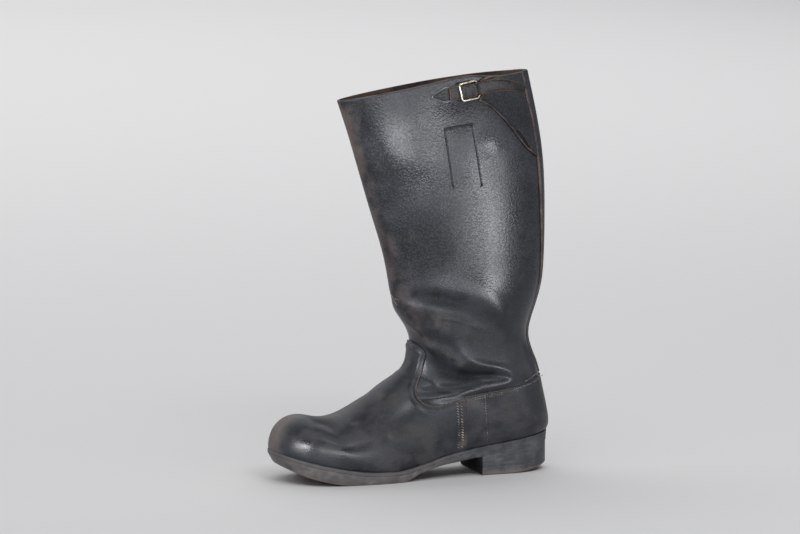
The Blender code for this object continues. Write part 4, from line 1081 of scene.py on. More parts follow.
flap_outline = np.concatenate([flap_edge, np.array(FLAP_CORNER)])
flap_path = LAST.path(flap_edge, LATERAL)
tab_rows = curve_through(SLIT_TAB, 6)
tab_path = LAST.path(tab_rows, LATERAL)
inside_flap_edge = inside_of(flap_outline, [flap_path])


def inside_flap(points):
    return np.minimum(inside_flap_edge(points), 0.2 - inside_strip(points))


flap_net = cut_out(
    np.concatenate([np.linspace(KNOTS[22], KNOTS[-1] - 3, 90), rim_steps]),
    np.linspace(-1, -0.3, 90),
    (inside_flap, (0.0, 0.25, 0.7, 1.6)),
    (lambda points: nearest(points, tab_path)[0], (TAB_HALF_WIDTH - TAB_SLOPE, TAB_HALF_WIDTH)),
)
from_edge = flap_net.inside[0]
from_tab = nearest(flap_net.points, tab_path)[0]
from_rim = KNOTS[-1] - flap_net.t
from_slit = nearest(flap_net.points, flap_path)[0]
tab_rise = TAB_THICKNESS * np.clip((TAB_HALF_WIDTH - from_tab) / TAB_SLOPE, 0, 1)
lifted = FLAP_LIFT + SLIT_LIFT * (1 - ramp(from_slit, 0, SLIT_LIFT_REACH))
flap_lift = lifted + FLAP_THICKNESS + edge_round(from_edge) + tab_rise - rim_round(flap_net)
flap_bare = 1 - np.minimum(ramp(from_slit, 0, SLIT_BARE_REACH), ramp(from_rim, 0, RIM_BARE_REACH))
flap_bare = np.maximum(flap_bare, 0.6 * swell(from_tab, TAB_HALF_WIDTH - 0.4, 0.5))
flap_leather = black_leather("flap_leather", 0.36, 0.3, 0.1)
calf_flap = leather_piece("calf_flap_leather", flap_net, flap_lift, lifted, flap_leather, flap_bare)
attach(calf_flap, "root")
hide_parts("calf_flap")

# The seams
# The pieces are sewn with waxed linen thread, pale where the wax has gone. Each stitch lies along its
# seam and sinks into the leather at both ends.

STITCH_JITTER = (0.05, 0.03, 0.12)


def stitch_tree():
    """A row of stitches along the edges of a mesh, each turned to the seam and to the leather."""
    tree = bpy.data.node_groups.new("stitch_row", "GeometryNodeTree")
    for name, kind in (
        ("Seam", "Geometry"), ("Pitch", "Float"), ("Length", "Float"), ("Thickness", "Float"),
        ("Slant", "Float"), ("Seed", "Int"), ("Thread", "Material"),
    ):
        tree.interface.new_socket(name, in_out="INPUT", socket_type=f"NodeSocket{kind}")
    tree.interface.new_socket("Stitches", in_out="OUTPUT", socket_type="NodeSocketGeometry")
    nodes = Nodes(tree)
    node = nodes.node
    given = {socket.name: Value(nodes, socket) for socket in tree.nodes.new("NodeGroupInput").outputs}
    path = node("GeometryNodeMeshToCurve", {}, {"Mesh": given["Seam"]})
    path = node("GeometryNodeResampleCurve", {"mode": "LENGTH"},
                {"Curve": path, "Length": given["Pitch"]})
    tangent = node("GeometryNodeInputTangent", {}, {})
    out = node("GeometryNodeInputNamedAttribute", {"data_type": "FLOAT_VECTOR"}, {"Name": "out"})
    turn = node("FunctionNodeAlignRotationToVector", {"axis": "X"}, {"Vector": tangent})
    settings = {"axis": "Z", "pivot_axis": "X"}
    turn = node("FunctionNodeAlignRotationToVector", settings, {"Rotation": turn, "Vector": out})
    slant = node("ShaderNodeCombineXYZ", {}, {"Z": given["Slant"]})
    least = tuple(-turn for turn in STITCH_JITTER)
    jitter = {"Min": least, "Max": STITCH_JITTER, "Seed": given["Seed"]}
    jitter = node("FunctionNodeRandomValue", {"data_type": "FLOAT_VECTOR"}, jitter)
    jitter = node("ShaderNodeVectorMath", {"operation": "ADD"}, {0: jitter, 1: slant})
    jitter = node("FunctionNodeEulerToRotation", {}, {"Euler": jitter})
    turn = node("FunctionNodeRotateRotation", {"rotation_space": "LOCAL"},
                {"Rotation": turn, "Rotate By": jitter})
    ball = node("GeometryNodeMeshUVSphere", {}, {"Segments": 8, "Rings": 5, "Radius": 0.5})
    sizes = {"X": given["Length"], "Y": given["Thickness"], "Z": given["Thickness"]}
    sizes = node("ShaderNodeCombineXYZ", {}, sizes)
    stitch = node("GeometryNodeTransform", {}, {"Geometry": ball, "Scale": sizes})
    row = node("GeometryNodeInstanceOnPoints", {}, {"Points": path, "Instance": stitch, "Rotation": turn})
    row = node("GeometryNodeRealizeInstances", {}, {"Geometry": row})
    row = node("GeometryNodeSetShadeSmooth", {}, {"Geometry": row})
    row = node("GeometryNodeSetMaterial", {}, {"Geometry": row, "Material": given["Thread"]})
    nodes.put(tree.nodes.new("NodeGroupOutput").inputs["Stitches"], row)
    return tree


STITCH_ROW = stitch_tree()


def seam_line(rows, side, lift, aside=0.0):
    """A seam on one side, from rows of x and z, moved aside in its plane, with the leather's normals."""
    rows = np.array(rows, float)
    run = unit(np.gradient(rows, axis=0))
    rows = rows + aside * np.stack([-run[:, 1], run[:, 0]], 1)
    t, s = LAST.find(rows[:, 0], rows[:, 1], side)
    return LAST.at(t, s, lift), unit(LAST.read(LAST.normals, t, s))


Stitch = namedtuple("Stitch", "pitch length thickness slant")
PLAIN_STITCH = Stitch(2.6, 2.2, 1.0, 0.25)
BOLD_STITCH = Stitch(2.7, 3.6, 1.25, 0.95)
PRESSED_STITCH = Stitch(2.3, 2.4, 1.3, 0.50)


def sew(name, seams, thread, seed, stitch):
    """Stitches along several seams, as one plain mesh."""
    points = np.concatenate([line for line, _ in seams])
    normals = np.concatenate([normal for _, normal in seams])
    edges, start = [], 0
    for line, _ in seams:
        edges += [(start + k, start + k + 1) for k in range(len(line) - 1)]
        start += len(line)
    mesh = bpy.data.meshes.new(name)
    mesh.from_pydata(((points + PLACE) * MM).tolist(), edges, [])
    piece = into_scene(name, mesh)
    paint(piece, "out", normals)
    row = piece.modifiers.new("stitches", "NODES")
    row.node_group = STITCH_ROW
    sizes = {"Pitch": stitch.pitch * MM, "Length": stitch.length * MM, "Thickness": stitch.thickness * MM,
             "Slant": stitch.slant, "Seed": seed, "Thread": thread}
    for item in STITCH_ROW.interface.items_tree:
        if item.name in sizes:
            row[item.identifier] = sizes[item.name]
    graph = bpy.context.evaluated_depsgraph_get()
    stitched = bpy.data.meshes.new_from_object(piece.evaluated_get(graph))
    piece.modifiers.remove(row)
    piece.data = stitched
    return piece


def thread(name, clean, soiled, dullness=0.58):
    """Waxed linen thread: twisted, and soiled in patches."""
    linen = Finish(name)
    patch = linen.noise(140.0, 4.0)
    twist = linen.noise(900.0, 2.0, (1.0, 1.0, 3.0))
    color = linen.blend(linen.between(patch, 0.40, 0.60), soiled, clean)
    return linen.done(color, dullness + 0.2 * (twist - 0.5), twist, 0.00015)


pale_thread = thread("pale_thread", (0.29, 0.23, 0.185, 1.0), (0.080, 0.062, 0.054, 1.0))
grey_thread = thread("grey_thread", (0.13, 0.12, 0.115, 1.0), (0.030, 0.029, 0.029, 1.0))
dark_thread = thread("dark_thread", (0.030, 0.028, 0.027, 1.0), (0.010, 0.010, 0.011, 1.0))
waxed_thread = thread("waxed_thread", (0.030, 0.031, 0.034, 1.0), (0.010, 0.011, 0.012, 1.0), 0.32)
SIDE_ROW, SECOND_SIDE_ROW, BAY_ROW = 4.6, 8.9, 3.0
COUNTER_ROW, SECOND_COUNTER_ROW = -2.3, -4.8
PRESSED_THREAD = -0.35
side_thread = VAMP_LIFT + VAMP_THICKNESS - 0.15
bay_thread = VAMP_LIFT + VAMP_THICKNESS - 0.2
counter_thread = COUNTER_LIFT + COUNTER_THICKNESS - 0.1
second_counter_thread = COUNTER_LIFT + COUNTER_THICKNESS + 0.05
pale_seams, dull_seams, grey_seams, dark_seams = [], [], [], []
for side in (LATERAL, MEDIAL):
    pale_seams.append(seam_line(vamp_seam[3:11], side, side_thread, SIDE_ROW))
    dull_seams.append(seam_line(vamp_seam[11:-1], side, side_thread, SIDE_ROW))
    dull_seams.append(seam_line(vamp_seam[3:-1], side, side_thread, SECOND_SIDE_ROW))
    dark_seams.append(seam_line(vamp_bay[:-6], side, bay_thread, BAY_ROW))
    grey_seams.append(seam_line(counter_top[3:-6], side, counter_thread, COUNTER_ROW))
    grey_seams.append(seam_line(counter_top[3:18], side, second_counter_thread, SECOND_COUNTER_ROW))
grey_seams.append(seam_line(join_rows, LATERAL, counter_thread))
pressed_seams = [seam_line(pressed_rows, LATERAL, PRESSED_THREAD)]
pale_stitches = sew("side_seam_stitches", pale_seams, pale_thread, 3, BOLD_STITCH)
dull_stitches = sew("side_seam_soiled_stitches", dull_seams, grey_thread, 7, BOLD_STITCH)
grey_stitches = sew("counter_stitches", grey_seams, grey_thread, 4, PLAIN_STITCH)
dark_stitches = sew("vamp_stitches", dark_seams, dark_thread, 5, PLAIN_STITCH)
pressed_stitches = sew("pressed_seam_stitches", pressed_seams, waxed_thread, 6, PRESSED_STITCH)
for stitches in (pale_stitches, dull_stitches, grey_stitches, dark_stitches, pressed_stitches):
    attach(stitches, "root")


def round_wire(path, radius, sides, closed=False):
    """Points and faces of a round wire or thread along a path. An open one has closed ends."""
    ahead = unit(np.roll(path, -1, 0) - np.roll(path, 1, 0) if closed else np.gradient(path, axis=0))
    out = unit(np.cross(ahead, np.array([0.0, -1.0, 0.0])))
    up = np.cross(out, ahead)
    turns = np.linspace(0, 2 * np.pi, sides, endpoint=False)[None, :, None]
    points = path[:, None] + radius * (out[:, None] * np.cos(turns) + up[:, None] * np.sin(turns))
    index = np.arange(len(path) * sides).reshape(-1, sides)
    onward = np.roll(index, -1, 0)
    faces = np.stack([index, onward, np.roll(onward, -1, 1), np.roll(index, -1, 1)], -1)
    if closed:
        return points.reshape(-1, 3), faces.reshape(-1, 4).tolist()
    ends = [index[0].tolist(), index[-1][::-1].tolist()]
    return points.reshape(-1, 3), faces[:-1].reshape(-1, 4).tolist() + ends


# Where the counter's seam has come undone at the back, and two ends at the front of the ankle
LooseEnd = namedtuple("LooseEnd", "x z lift")
LOOSE_ENDS = (
    (LooseEnd(120.0, 98.6, 1.9), LooseEnd(126.5, 101.0, 2.4),
     LooseEnd(131.0, 103.4, 3.2), LooseEnd(134.0, 104.6, 3.4)),
    (LooseEnd(134.0, 104.6, 3.4), LooseEnd(138.0, 101.8, 3.0),
     LooseEnd(142.0, 100.6, 3.0), LooseEnd(144.5, 99.8, 4.4)),
    (LooseEnd(-17.0, 193.6, 0.2), LooseEnd(-15.4, 190.0, 0.7),
     LooseEnd(-13.4, 188.4, 0.5), LooseEnd(-11.6, 187.8, 0.1)),
    (LooseEnd(-15.2, 188.0, 0.1), LooseEnd(-14.4, 186.2, 0.6),
     LooseEnd(-13.4, 184.2, 0.7), LooseEnd(-12.6, 182.0, 0.1)),
)
THREAD_RADIUS = 0.24
loose_points, loose_faces = [], []
for rows in LOOSE_ENDS:
    line = curve_through(rows, 5)
    bent = LAST.path(line, LATERAL, line[:, 2])
    points, faces = round_wire(bent, THREAD_RADIUS, 6)
    loose_faces += [[i + len(loose_points) for i in face] for face in faces]
    loose_points += points.tolist()
loose_ends = new_piece("loose_thread_ends", np.array(loose_points), loose_faces, pale_thread)
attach(loose_ends, "root")

# The chape and the strap
# A pointed chape holds the buckle to the shaft. The strap is sewn in under the back strip, runs over
# the back bar of the buckle and under its front bar, and its cut edges have worn brown.

CHAPE_THICKNESS = 1.5
STRAP_THICKNESS = 1.7
Strap = namedtuple("Strap", "x z half_width lift")
CHAPE = (
    Strap(17.6, 402.1, 0.8, 0.1),
    Strap(25.5, 403.1, 4.5, 0.1),
    Strap(33.6, 404.0, 8.2, 0.1),
    Strap(36.0, 404.4, 7.6, 0.1),
    Strap(52.0, 406.3, 7.2, 0.1),
)
STRAP = (
    Strap(36.5, 404.6, 7.6, 1.9),
    Strap(46.0, 405.5, 7.3, 1.9),
    Strap(52.0, 406.3, 7.1, 2.0),
    Strap(55.7, 406.8, 7.1, 2.7),
    Strap(60.0, 407.6, 7.0, 2.3),
    Strap(64.6, 408.5, 7.0, 3.9),
    Strap(69.0, 409.4, 7.1, 2.9),
    Strap(78.0, 411.3, 7.1, 2.5),
    Strap(85.0, 412.0, 6.9, 2.4),
    Strap(96.0, 412.2, 6.2, 2.4),
    Strap(108.0, 411.0, 5.2, 2.4),
    Strap(117.0, 408.9, 4.5, 2.2),
    Strap(121.0, 407.5, 4.2, 1.9),
    Strap(125.0, 405.9, 3.9, 1.3),
)
BAND_ROUND = 24
BAND_SIDE_POWER = 0.45
BAND_TOP_POWER = 0.55
BAND_CROWN = 0.25
BAND_EDGE_START = 0.80
BAND_EDGE_FADE = 0.12


def make_band(name, rows, thickness, steps, material):
    """A strip of leather on the outer side of the shaft, with rounded edges and closed ends."""
    x = np.linspace(rows[0].x, rows[-1].x, steps)
    z, half, lift = (table(rows, key, x) for key in ("z", "half_width", "lift"))
    along = unit(np.stack([np.gradient(x), np.gradient(z)], 1))
    turn = np.linspace(0, 2 * np.pi, BAND_ROUND, endpoint=False)
    across = np.sign(np.cos(turn)) * np.abs(np.cos(turn)) ** BAND_SIDE_POWER
    upwards = (np.sign(np.sin(turn)) * np.abs(np.sin(turn)) ** BAND_TOP_POWER + 1) / 2
    grid_x = x[:, None] - along[:, 1:] * across * half[:, None]
    grid_z = z[:, None] + along[:, :1] * across * half[:, None]
    crown = BAND_CROWN * (1 - across**2)
    grid_lift = lift[:, None] + upwards[None, :] * (thickness + crown)
    points = LAST.on_side(grid_x, grid_z, LATERAL, grid_lift)
    index = np.arange(steps * BAND_ROUND).reshape(steps, BAND_ROUND)
    following = np.roll(index, -1, 1)
    faces = np.stack([index[:-1], index[1:], following[1:], following[:-1]], -1).reshape(-1, 4).tolist()
    faces += [index[0].tolist(), index[-1][::-1].tolist()]
    piece = new_piece(name, points.reshape(-1, 3), faces, material, 60)
    edge = ramp(np.abs(across), BAND_EDGE_START, BAND_EDGE_FADE)[None, :].repeat(steps, 0)
    edge[[0, 1]] = 1.0
    paint(piece, "edge", edge.ravel())
    return piece


def strap_hide(name, dark, light, cut):
    """Strap leather, darker in the middle, with another colour along its cut edges: rubbed brown on the
    strap, and pale grey on the chape as a painted highlight.
    """
    hide = Finish(name)
    edge = hide.painted("edge")
    patch = hide.noise(110.0, 5.0)
    grain = hide.noise(900.0, 3.0)
    color = hide.blend(hide.between(patch, 0.38, 0.64), dark, light)
    bare = hide.between(edge + (patch - 0.5) * 1.6, 0.3, 1.0)
    color = hide.blend(bare, color, cut)
    cell = hide.pebble(700.0, 0.4)
    return hide.done(color, 0.34 + 0.2 * (grain - 0.5) + 0.2 * bare, cell * -0.5 + grain * 0.5, 0.00020,
                     hide.between(cell, 0.2, 0.6) * 0.5 + bare * 0.3, specular_tint=LEATHER_SHEEN)


strap_brown = strap_hide("strap_brown", (0.005, 0.0045, 0.0045, 1.0), (0.016, 0.011, 0.009, 1.0),
                         (0.088, 0.052, 0.036, 1.0))
# The chape's pale grey edge colour is a painted highlight along its edges
chape_black = strap_hide("chape_black", (0.005, 0.0055, 0.0068, 1.0), (0.008, 0.009, 0.012, 1.0),
                         (0.200, 0.195, 0.205, 1.0))
chape = make_band("chape_leather", CHAPE, CHAPE_THICKNESS, 40, chape_black)
strap = make_band("strap_leather", STRAP, STRAP_THICKNESS, 130, strap_brown)
for piece, node in ((chape, "buckle_chape"), (strap, "strap")):
    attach(piece, "root")
    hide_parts(node)

# The buckle
# A loop of bent brass wire, once plated, bright on its front bar and dull in the corners. It is held by
# the chape and grips the strap.

WIRE_RADIUS = 1.1
BUCKLE_HALF_LENGTH = 10.5
BUCKLE_HALF_HEIGHT = 9.3
BUCKLE_CORNER = 2.6
BUCKLE_CENTRE = (58.4, 407.4)
BUCKLE_ALONG = (0.987, 0.160)
BUCKLE_ACROSS = (-0.220, 0.975)
BUCKLE_FRONT_LIFT = 5.2
BUCKLE_BACK_LIFT = 1.5


def buckle_path():
    """Centre line of the wire: a rounded rectangle, its front bar over the strap."""
    flat = []
    corner_x, corner_z = BUCKLE_HALF_LENGTH - BUCKLE_CORNER, BUCKLE_HALF_HEIGHT - BUCKLE_CORNER
    for turn, cx, cz in ((0, 1, 1), (1, -1, 1), (2, -1, -1), (3, 1, -1)):
        for angle in np.pi / 2 * (turn + np.linspace(0, 1, 9)):
            flat.append((cx * corner_x + BUCKLE_CORNER * np.cos(angle),
                         cz * corner_z + BUCKLE_CORNER * np.sin(angle)))
    flat = np.array(flat)
    x = BUCKLE_CENTRE[0] + flat @ np.array([BUCKLE_ALONG[0], BUCKLE_ACROSS[0]])
    z = BUCKLE_CENTRE[1] + flat @ np.array([BUCKLE_ALONG[1], BUCKLE_ACROSS[1]])
    back = (flat[:, 0] / BUCKLE_HALF_LENGTH + 1) / 2
    lift = BUCKLE_FRONT_LIFT + back * (BUCKLE_BACK_LIFT - BUCKLE_FRONT_LIFT)
    return LAST.on_side(x, z, LATERAL, lift)


def plated_brass():
    metal = Finish("plated_brass")
    patch = metal.noise(260.0, 4.0)
    dull = metal.between(patch, 0.46, 0.68)
    color = metal.blend(dull, (0.78, 0.72, 0.60, 1.0), (0.30, 0.21, 0.12, 1.0))
    nicks = metal.noise(1400.0, 3.0)
    return metal.done(color, 0.20 + 0.28 * dull, nicks, 0.00006, metallic=1.0)


points, faces = round_wire(buckle_path(), WIRE_RADIUS, 16, closed=True)
buckle = new_piece("buckle_wire", points, faces, plated_brass(), 60)
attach(buckle, "root")
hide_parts("buckle_frame")

# The welt
# A strip of sole leather runs round the feather line, on top of the sole. The upper is sewn to it, and
# its outer edge is blacked and worn.

GAP = 0.3
CLOSED_GAP = 0.04
WELT_THICKNESS = 3.9
WELT_SEAT = WALL + 0.8
Margin = namedtuple("Margin", "x welt outsole tread heel")
MARGINS = (
    Margin(-148.0, 3.2, 3.4, -3.0, 0.0),
    Margin(-112.0, 4.6, 5.2, 3.4, 0.0),
    Margin(-60.0, 5.6, 6.2, 5.4, 0.0),
    Margin(0.0, 5.2, 5.6, 5.0, 0.0),
    Margin(40.0, 4.0, 4.0, 3.4, 0.0),
    Margin(72.0, 3.4, 3.4, 3.2, 3.2),
    Margin(155.0, 2.8, 2.4, 2.2, 1.6),
)
SIDE_STEPS = 150


def feather_sides():
    """The feather line in plan, its lateral and medial sides from the toe's tip to the heel's back."""
    turn = np.linspace(np.pi / 2, 0, 50)
    heel = HEEL_ROUND_START_X + (HEEL_BACK_X - HEEL_ROUND_START_X) * np.cos(turn)
    waist = np.linspace(SECTIONS[0].back_x, HEEL_ROUND_START_X, 70)
    x = np.concatenate([waist, heel[1:]])
    toe = section_sides(np.zeros(1))[:, 0, :SAMPLES, :2]
    sides = []
    for side, toe_line in ((LATERAL, toe[0]), (MEDIAL, toe[1])):
        line = np.stack([x, side * feather_half_width(side, x)], 1)
        sides.append(np.concatenate([toe_line, line[1:]]))
    return sides


def ring_of(margin, aside=0.0, breast=None):
    """An outline in plan, a margin outside the feather line, as an even ring from the front's middle.

    The first half runs down the lateral side and the second half comes back up the medial side. A
    breast is where a heel is cut off straight across in front. Aside may be a function of x.
    """
    lines = feather_sides()
    loop = np.concatenate([lines[0], lines[1][::-1][1:-1]])
    run = unit(np.roll(loop, -1, 0) - np.roll(loop, 1, 0))
    outwards = np.stack([run[:, 1], -run[:, 0]], 1)
    outwards *= np.sign(np.sum(outwards * (loop - loop.mean(0)), 1).mean())
    size = table(MARGINS, margin, loop[:, 0]) if isinstance(margin, str) else margin
    aside = aside(loop[:, 0]) if callable(aside) else aside
    loop = loop + outwards * (np.broadcast_to(size, len(loop)) + aside)[:, None]
    back = len(lines[0]) - 1
    halves = [loop[: back + 1], np.concatenate([loop[:1], loop[back:][::-1]])]
    even = np.linspace(0, 1, SIDE_STEPS + 1)
    sides = []
    for line in halves:
        if breast is not None:
            y = np.interp(breast, line[:, 0], line[:, 1])
            across = np.linspace((breast, 0.0), (breast, y), 20)
            line = np.concatenate([across, line[line[:, 0] > breast]])
        place = travelled(line)
        sides.append(np.stack([np.interp(even * place[-1], place, axis) for axis in line.T], 1))
    return np.concatenate([sides[0], sides[1][::-1][1:-1]])


def at_height(ring, down, top, underside):
    """A ring in space, that share of the way down from the top to the underside."""
    return np.column_stack([ring, top + down * (underside - top)])


def ringed_piece(name, rings, material, closed=False, down=None):
    """A solid from rings of points stacked one on the next, closed by rungs or round into itself."""
    rings = np.array(rings)
    count, size = rings.shape[:2]
    index = np.arange(count * size).reshape(count, size)
    upper_rows = index if closed else index[:-1]
    lower_rows = np.roll(index, -1, 0) if closed else index[1:]
    faces = np.stack([upper_rows, np.roll(upper_rows, -1, 1), np.roll(lower_rows, -1, 1), lower_rows], -1)
    faces = faces.reshape(-1, 4).tolist()
    if not closed:
        for ring, flip in ((index[0], False), (index[-1], True)):
            for i in range(size // 2):
                rung = [ring[i], ring[-i], ring[-i - 1], ring[i + 1]]
                rung = list(dict.fromkeys(rung))
                faces.append(rung[::-1] if flip else rung)
    piece = new_piece(name, rings.reshape(-1, 3), faces, material, 50)
    work = bmesh.new()
    work.from_mesh(piece.data)
    bmesh.ops.recalc_face_normals(work, faces=work.faces)
    work.to_mesh(piece.data)
    work.free()
    along = np.stack([np.append(0, travelled(ring)[1:]) for ring in rings]) / 100
    depth = np.linspace(0, 1, count) if down is None else np.array(down, float)
    edge_place = np.stack([along, np.broadcast_to(depth[:, None], along.shape), np.zeros_like(along)], -1)
    paint(piece, "edge_place", edge_place.reshape(-1, 3))
    return piece


HEEL_INK = (0.0110, 0.0124, 0.0150, 1.0)
HEEL_WORN = (0.0600, 0.0600, 0.0650, 1.0)
SOLE_INK = (0.0390, 0.0355, 0.0350, 1.0)
SOLE_BARE = (0.1000, 0.0895, 0.0870, 1.0)
SOLE_RAW = (0.1120, 0.0840, 0.0740, 1.0)
SOLE_SCRAPE = (0.1500, 0.1350, 0.1220, 1.0)
BREAST_SHADE = (0.0060, 0.0055, 0.0055, 1.0)
BREAST_SHADE_DEPTH = 2.5
HEEL_INK_START, HEEL_INK_FULL = 0.020, 0.065


def sole_finish(name, streak, foot_wear, heel_kept=1.0, breast_x=None):
    """Blacked sole leather: streaks along its layers, scrapes, and bare brown along its lower edge.

    In front the black has worn off, and round the heel it has lasted. A heel's breast is painted dark and
    matt as the shade under the sole.
    """
    hide = Finish(name)
    edge_place = hide.painted("edge_place", "Vector")
    down = hide.node("ShaderNodeSeparateXYZ", {}, {0: edge_place}, "Y")
    back = hide.node("ShaderNodeSeparateXYZ", {}, {0: hide.place}, "X")
    layer = hide.noise(3.0, 4.0, (2.0, 14.0, 1.0), place=edge_place)
    patch = hide.noise(90.0, 6.0)
    grit = hide.noise(700.0, 3.0)
    scrape = hide.noise(60.0, 4.0, (1.0, 1.0, 9.0))
    worn = hide.between(layer * 0.5 + patch * 0.5, 0.42, 0.64)
    heel = hide.between(back + (patch - 0.5) * 0.03, HEEL_INK_START, HEEL_INK_FULL)
    ink = hide.blend(heel, SOLE_INK, HEEL_INK)
    bare = hide.blend(heel, SOLE_BARE, HEEL_WORN)
    color = hide.blend(worn * streak, ink, bare)
    low = hide.between(down + (patch - 0.5) * 0.4, 1.0 - foot_wear, 1.0) * (1 - heel * heel_kept)
    color = hide.blend(low, color, SOLE_RAW)
    scraped = hide.between(scrape * 0.7 + grit * 0.3, 0.58, 0.70)
    color = hide.blend(scraped * 0.30, color, SOLE_SCRAPE)
    height = layer * 0.8 + grit * 0.3 + scrape * 0.4
    roughness = 0.46 + 0.2 * worn + 0.15 * low
    breast_shade = None
    if breast_x is not None:
        # The breast is painted dark and matt as the shade under the sole
        breast_shade = 1 - hide.between(back, breast_x * MM, (breast_x + BREAST_SHADE_DEPTH) * MM)
        color = hide.blend(breast_shade, color, BREAST_SHADE)
    return hide.done(color, roughness, height, 0.00040, breast_shade, specular_tint=LEATHER_SHEEN)


def welt_under(x):
    return seat(x) - GAP - WELT_THICKNESS


# Points round the welt's section: how far out of its margin, how far down, and whether on its inner side
WeltPoint = namedtuple("WeltPoint", "out down inner")
WELT_SECTION = (
    WeltPoint(0.0, 0.0, True),
    WeltPoint(-1.6, 0.0, False),
    WeltPoint(-0.5, 0.03, False),
    WeltPoint(-0.1, 0.14, False),
    WeltPoint(0.0, 0.35, False),
    WeltPoint(0.0, 0.85, False),
    WeltPoint(-0.05, 0.96, False),
    WeltPoint(-0.25, 1.0, False),
    WeltPoint(0.0, 1.0, True),
)
TRIM_START_X = 72.0
TRIM_FADE = 14.0
INNER_ROW = -6.0


def trimmed(point):
    """An edge's shape along the boot: as given in front, and trimmed flush round the heel."""
    return lambda x: point.out * np.clip((TRIM_START_X - x) / TRIM_FADE, point.out < INNER_ROW, 1)


welt_rings = []
for point in WELT_SECTION:
    ring = ring_of(-WELT_SEAT if point.inner else "welt", trimmed(point))
    welt_rings.append(at_height(ring, point.down, seat(ring[:, 0]) - GAP, welt_under(ring[:, 0])))
welt_leather = sole_finish("welt_hide", 0.7, 0.02)
welt_down = column(WELT_SECTION, "down")
welt = ringed_piece("welt_strip", welt_rings, welt_leather, closed=True, down=welt_down)
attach(welt, "root")
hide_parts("welt")

# The insole
# A board of vegetable-tanned leather lies inside the welt. It is the floor of the boot, brown and dull
# from the foot.

INSOLE_INSET = WALL + 1.5
INSOLE_RISE = 1.0
insole_rings = []
for out, down in ((-6.0, 0.0), (-0.6, 0.0), (0.0, 0.12), (0.0, 0.9), (-0.5, 1.0)):
    ring = ring_of(-INSOLE_INSET, out)
    insole_rings.append(at_height(ring, down, seat(ring[:, 0]) + INSOLE_RISE, welt_under(ring[:, 0])))


def insole_hide():
    hide = Finish("insole_hide")
    patch = hide.noise(45.0, 5.0)
    grain = hide.noise(800.0, 3.0)
    stain = hide.between(patch, 0.36, 0.66)
    color = hide.blend(stain, (0.070, 0.042, 0.026, 1.0), (0.19, 0.115, 0.068, 1.0))
    return hide.done(color, 0.72 + 0.2 * (grain - 0.5), grain, 0.00020)


insole = ringed_piece("insole_board", insole_rings, insole_hide())
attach(insole, "root")
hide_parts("insole")

# The outsole
# One layer of sole leather with toe spring and a drawn-up waist, sewn through the welt. Its edge was
# blacked with the welt and has worn to grey-brown.

TREAD = (
    Point(-153.0, 23.5), Point(-134.0, 14.6), Point(-120.0, 9.0), Point(-100.0, 3.8), Point(-82.0, 0.9),
    Point(-68.0, 0.0), Point(-18.0, 0.0), Point(2.0, 7.6), Point(22.0, 13.0), Point(48.0, 16.6),
    Point(72.0, 20.3), Point(110.0, 25.0), Point(157.0, 32.0),
)
SolePoint = namedtuple("SolePoint", "out down")
SOLE_EDGE = (
    SolePoint(-8.0, 0.0), SolePoint(-0.25, 0.0), SolePoint(0.0, 0.05), SolePoint(0.1, 0.25),
    SolePoint(0.15, 0.55), SolePoint(0.0, 0.80), SolePoint(-0.4, 0.93), SolePoint(-1.2, 1.0),
    SolePoint(-8.0, 1.0),
)


def tread(x):
    return table(TREAD, "z", x)


outsole_rings = []
for point in SOLE_EDGE:
    top_ring, low_ring = ring_of("outsole", trimmed(point)), ring_of("tread", trimmed(point))
    ring = top_ring + point.down * (low_ring - top_ring)
    top = welt_under(ring[:, 0]) - CLOSED_GAP
    outsole_rings.append(at_height(ring, point.down, top, tread(ring[:, 0])))
sole_leather = sole_finish("sole_hide", 1.0, 0.25)
outsole = ringed_piece("outsole_leather", outsole_rings, sole_leather, down=column(SOLE_EDGE, "down"))
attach(outsole, "root")
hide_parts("outsole")

# The heel
# Lifts of sole leather are pegged on one another and trimmed to the seat, with a breast that leans back.
# The top piece under them takes the wear and is worn off behind.

HEEL_BREAST_TOP_X = 69.0
HEEL_BREAST_FOOT_X = 72.5
TOP_PIECE_THICKNESS = 9.0
HEEL_FLAT_END_X = 104.0
HEEL_WEAR_RISE = 7.2
LIFT_JOINTS = (0.34, 0.68)
JOINT_DEPTH = 0.08


def heel_edge():
    """Rows down the side of the lifts, with a fine groove at each joint."""
    rows = [SolePoint(-6.0, 0.0), SolePoint(-0.15, 0.0), SolePoint(0.0, 0.02)]
    for joint in LIFT_JOINTS:
        rows += [SolePoint(0.0, joint - 0.03), SolePoint(-JOINT_DEPTH, joint)]
        rows.append(SolePoint(0.0, joint + 0.03))
    return rows + [SolePoint(0.0, 0.98), SolePoint(-0.1, 1.0), SolePoint(-6.0, 1.0)]


stack_rings = []
for point in heel_edge():
    breast = HEEL_BREAST_TOP_X + point.down * (HEEL_BREAST_FOOT_X - HEEL_BREAST_TOP_X) - point.out
    ring = ring_of("heel", point.out, breast)
    top = tread(ring[:, 0]) - CLOSED_GAP
    stack_rings.append(at_height(ring, point.down, top, TOP_PIECE_THICKNESS + GAP))
stack_leather = sole_finish("heel_stack_hide", 1.0, 0.001, breast_x=HEEL_BREAST_FOOT_X + PLACE[0])
stack = ringed_piece("heel_stack_lifts", stack_rings, stack_leather, down=[p.down for p in heel_edge()])

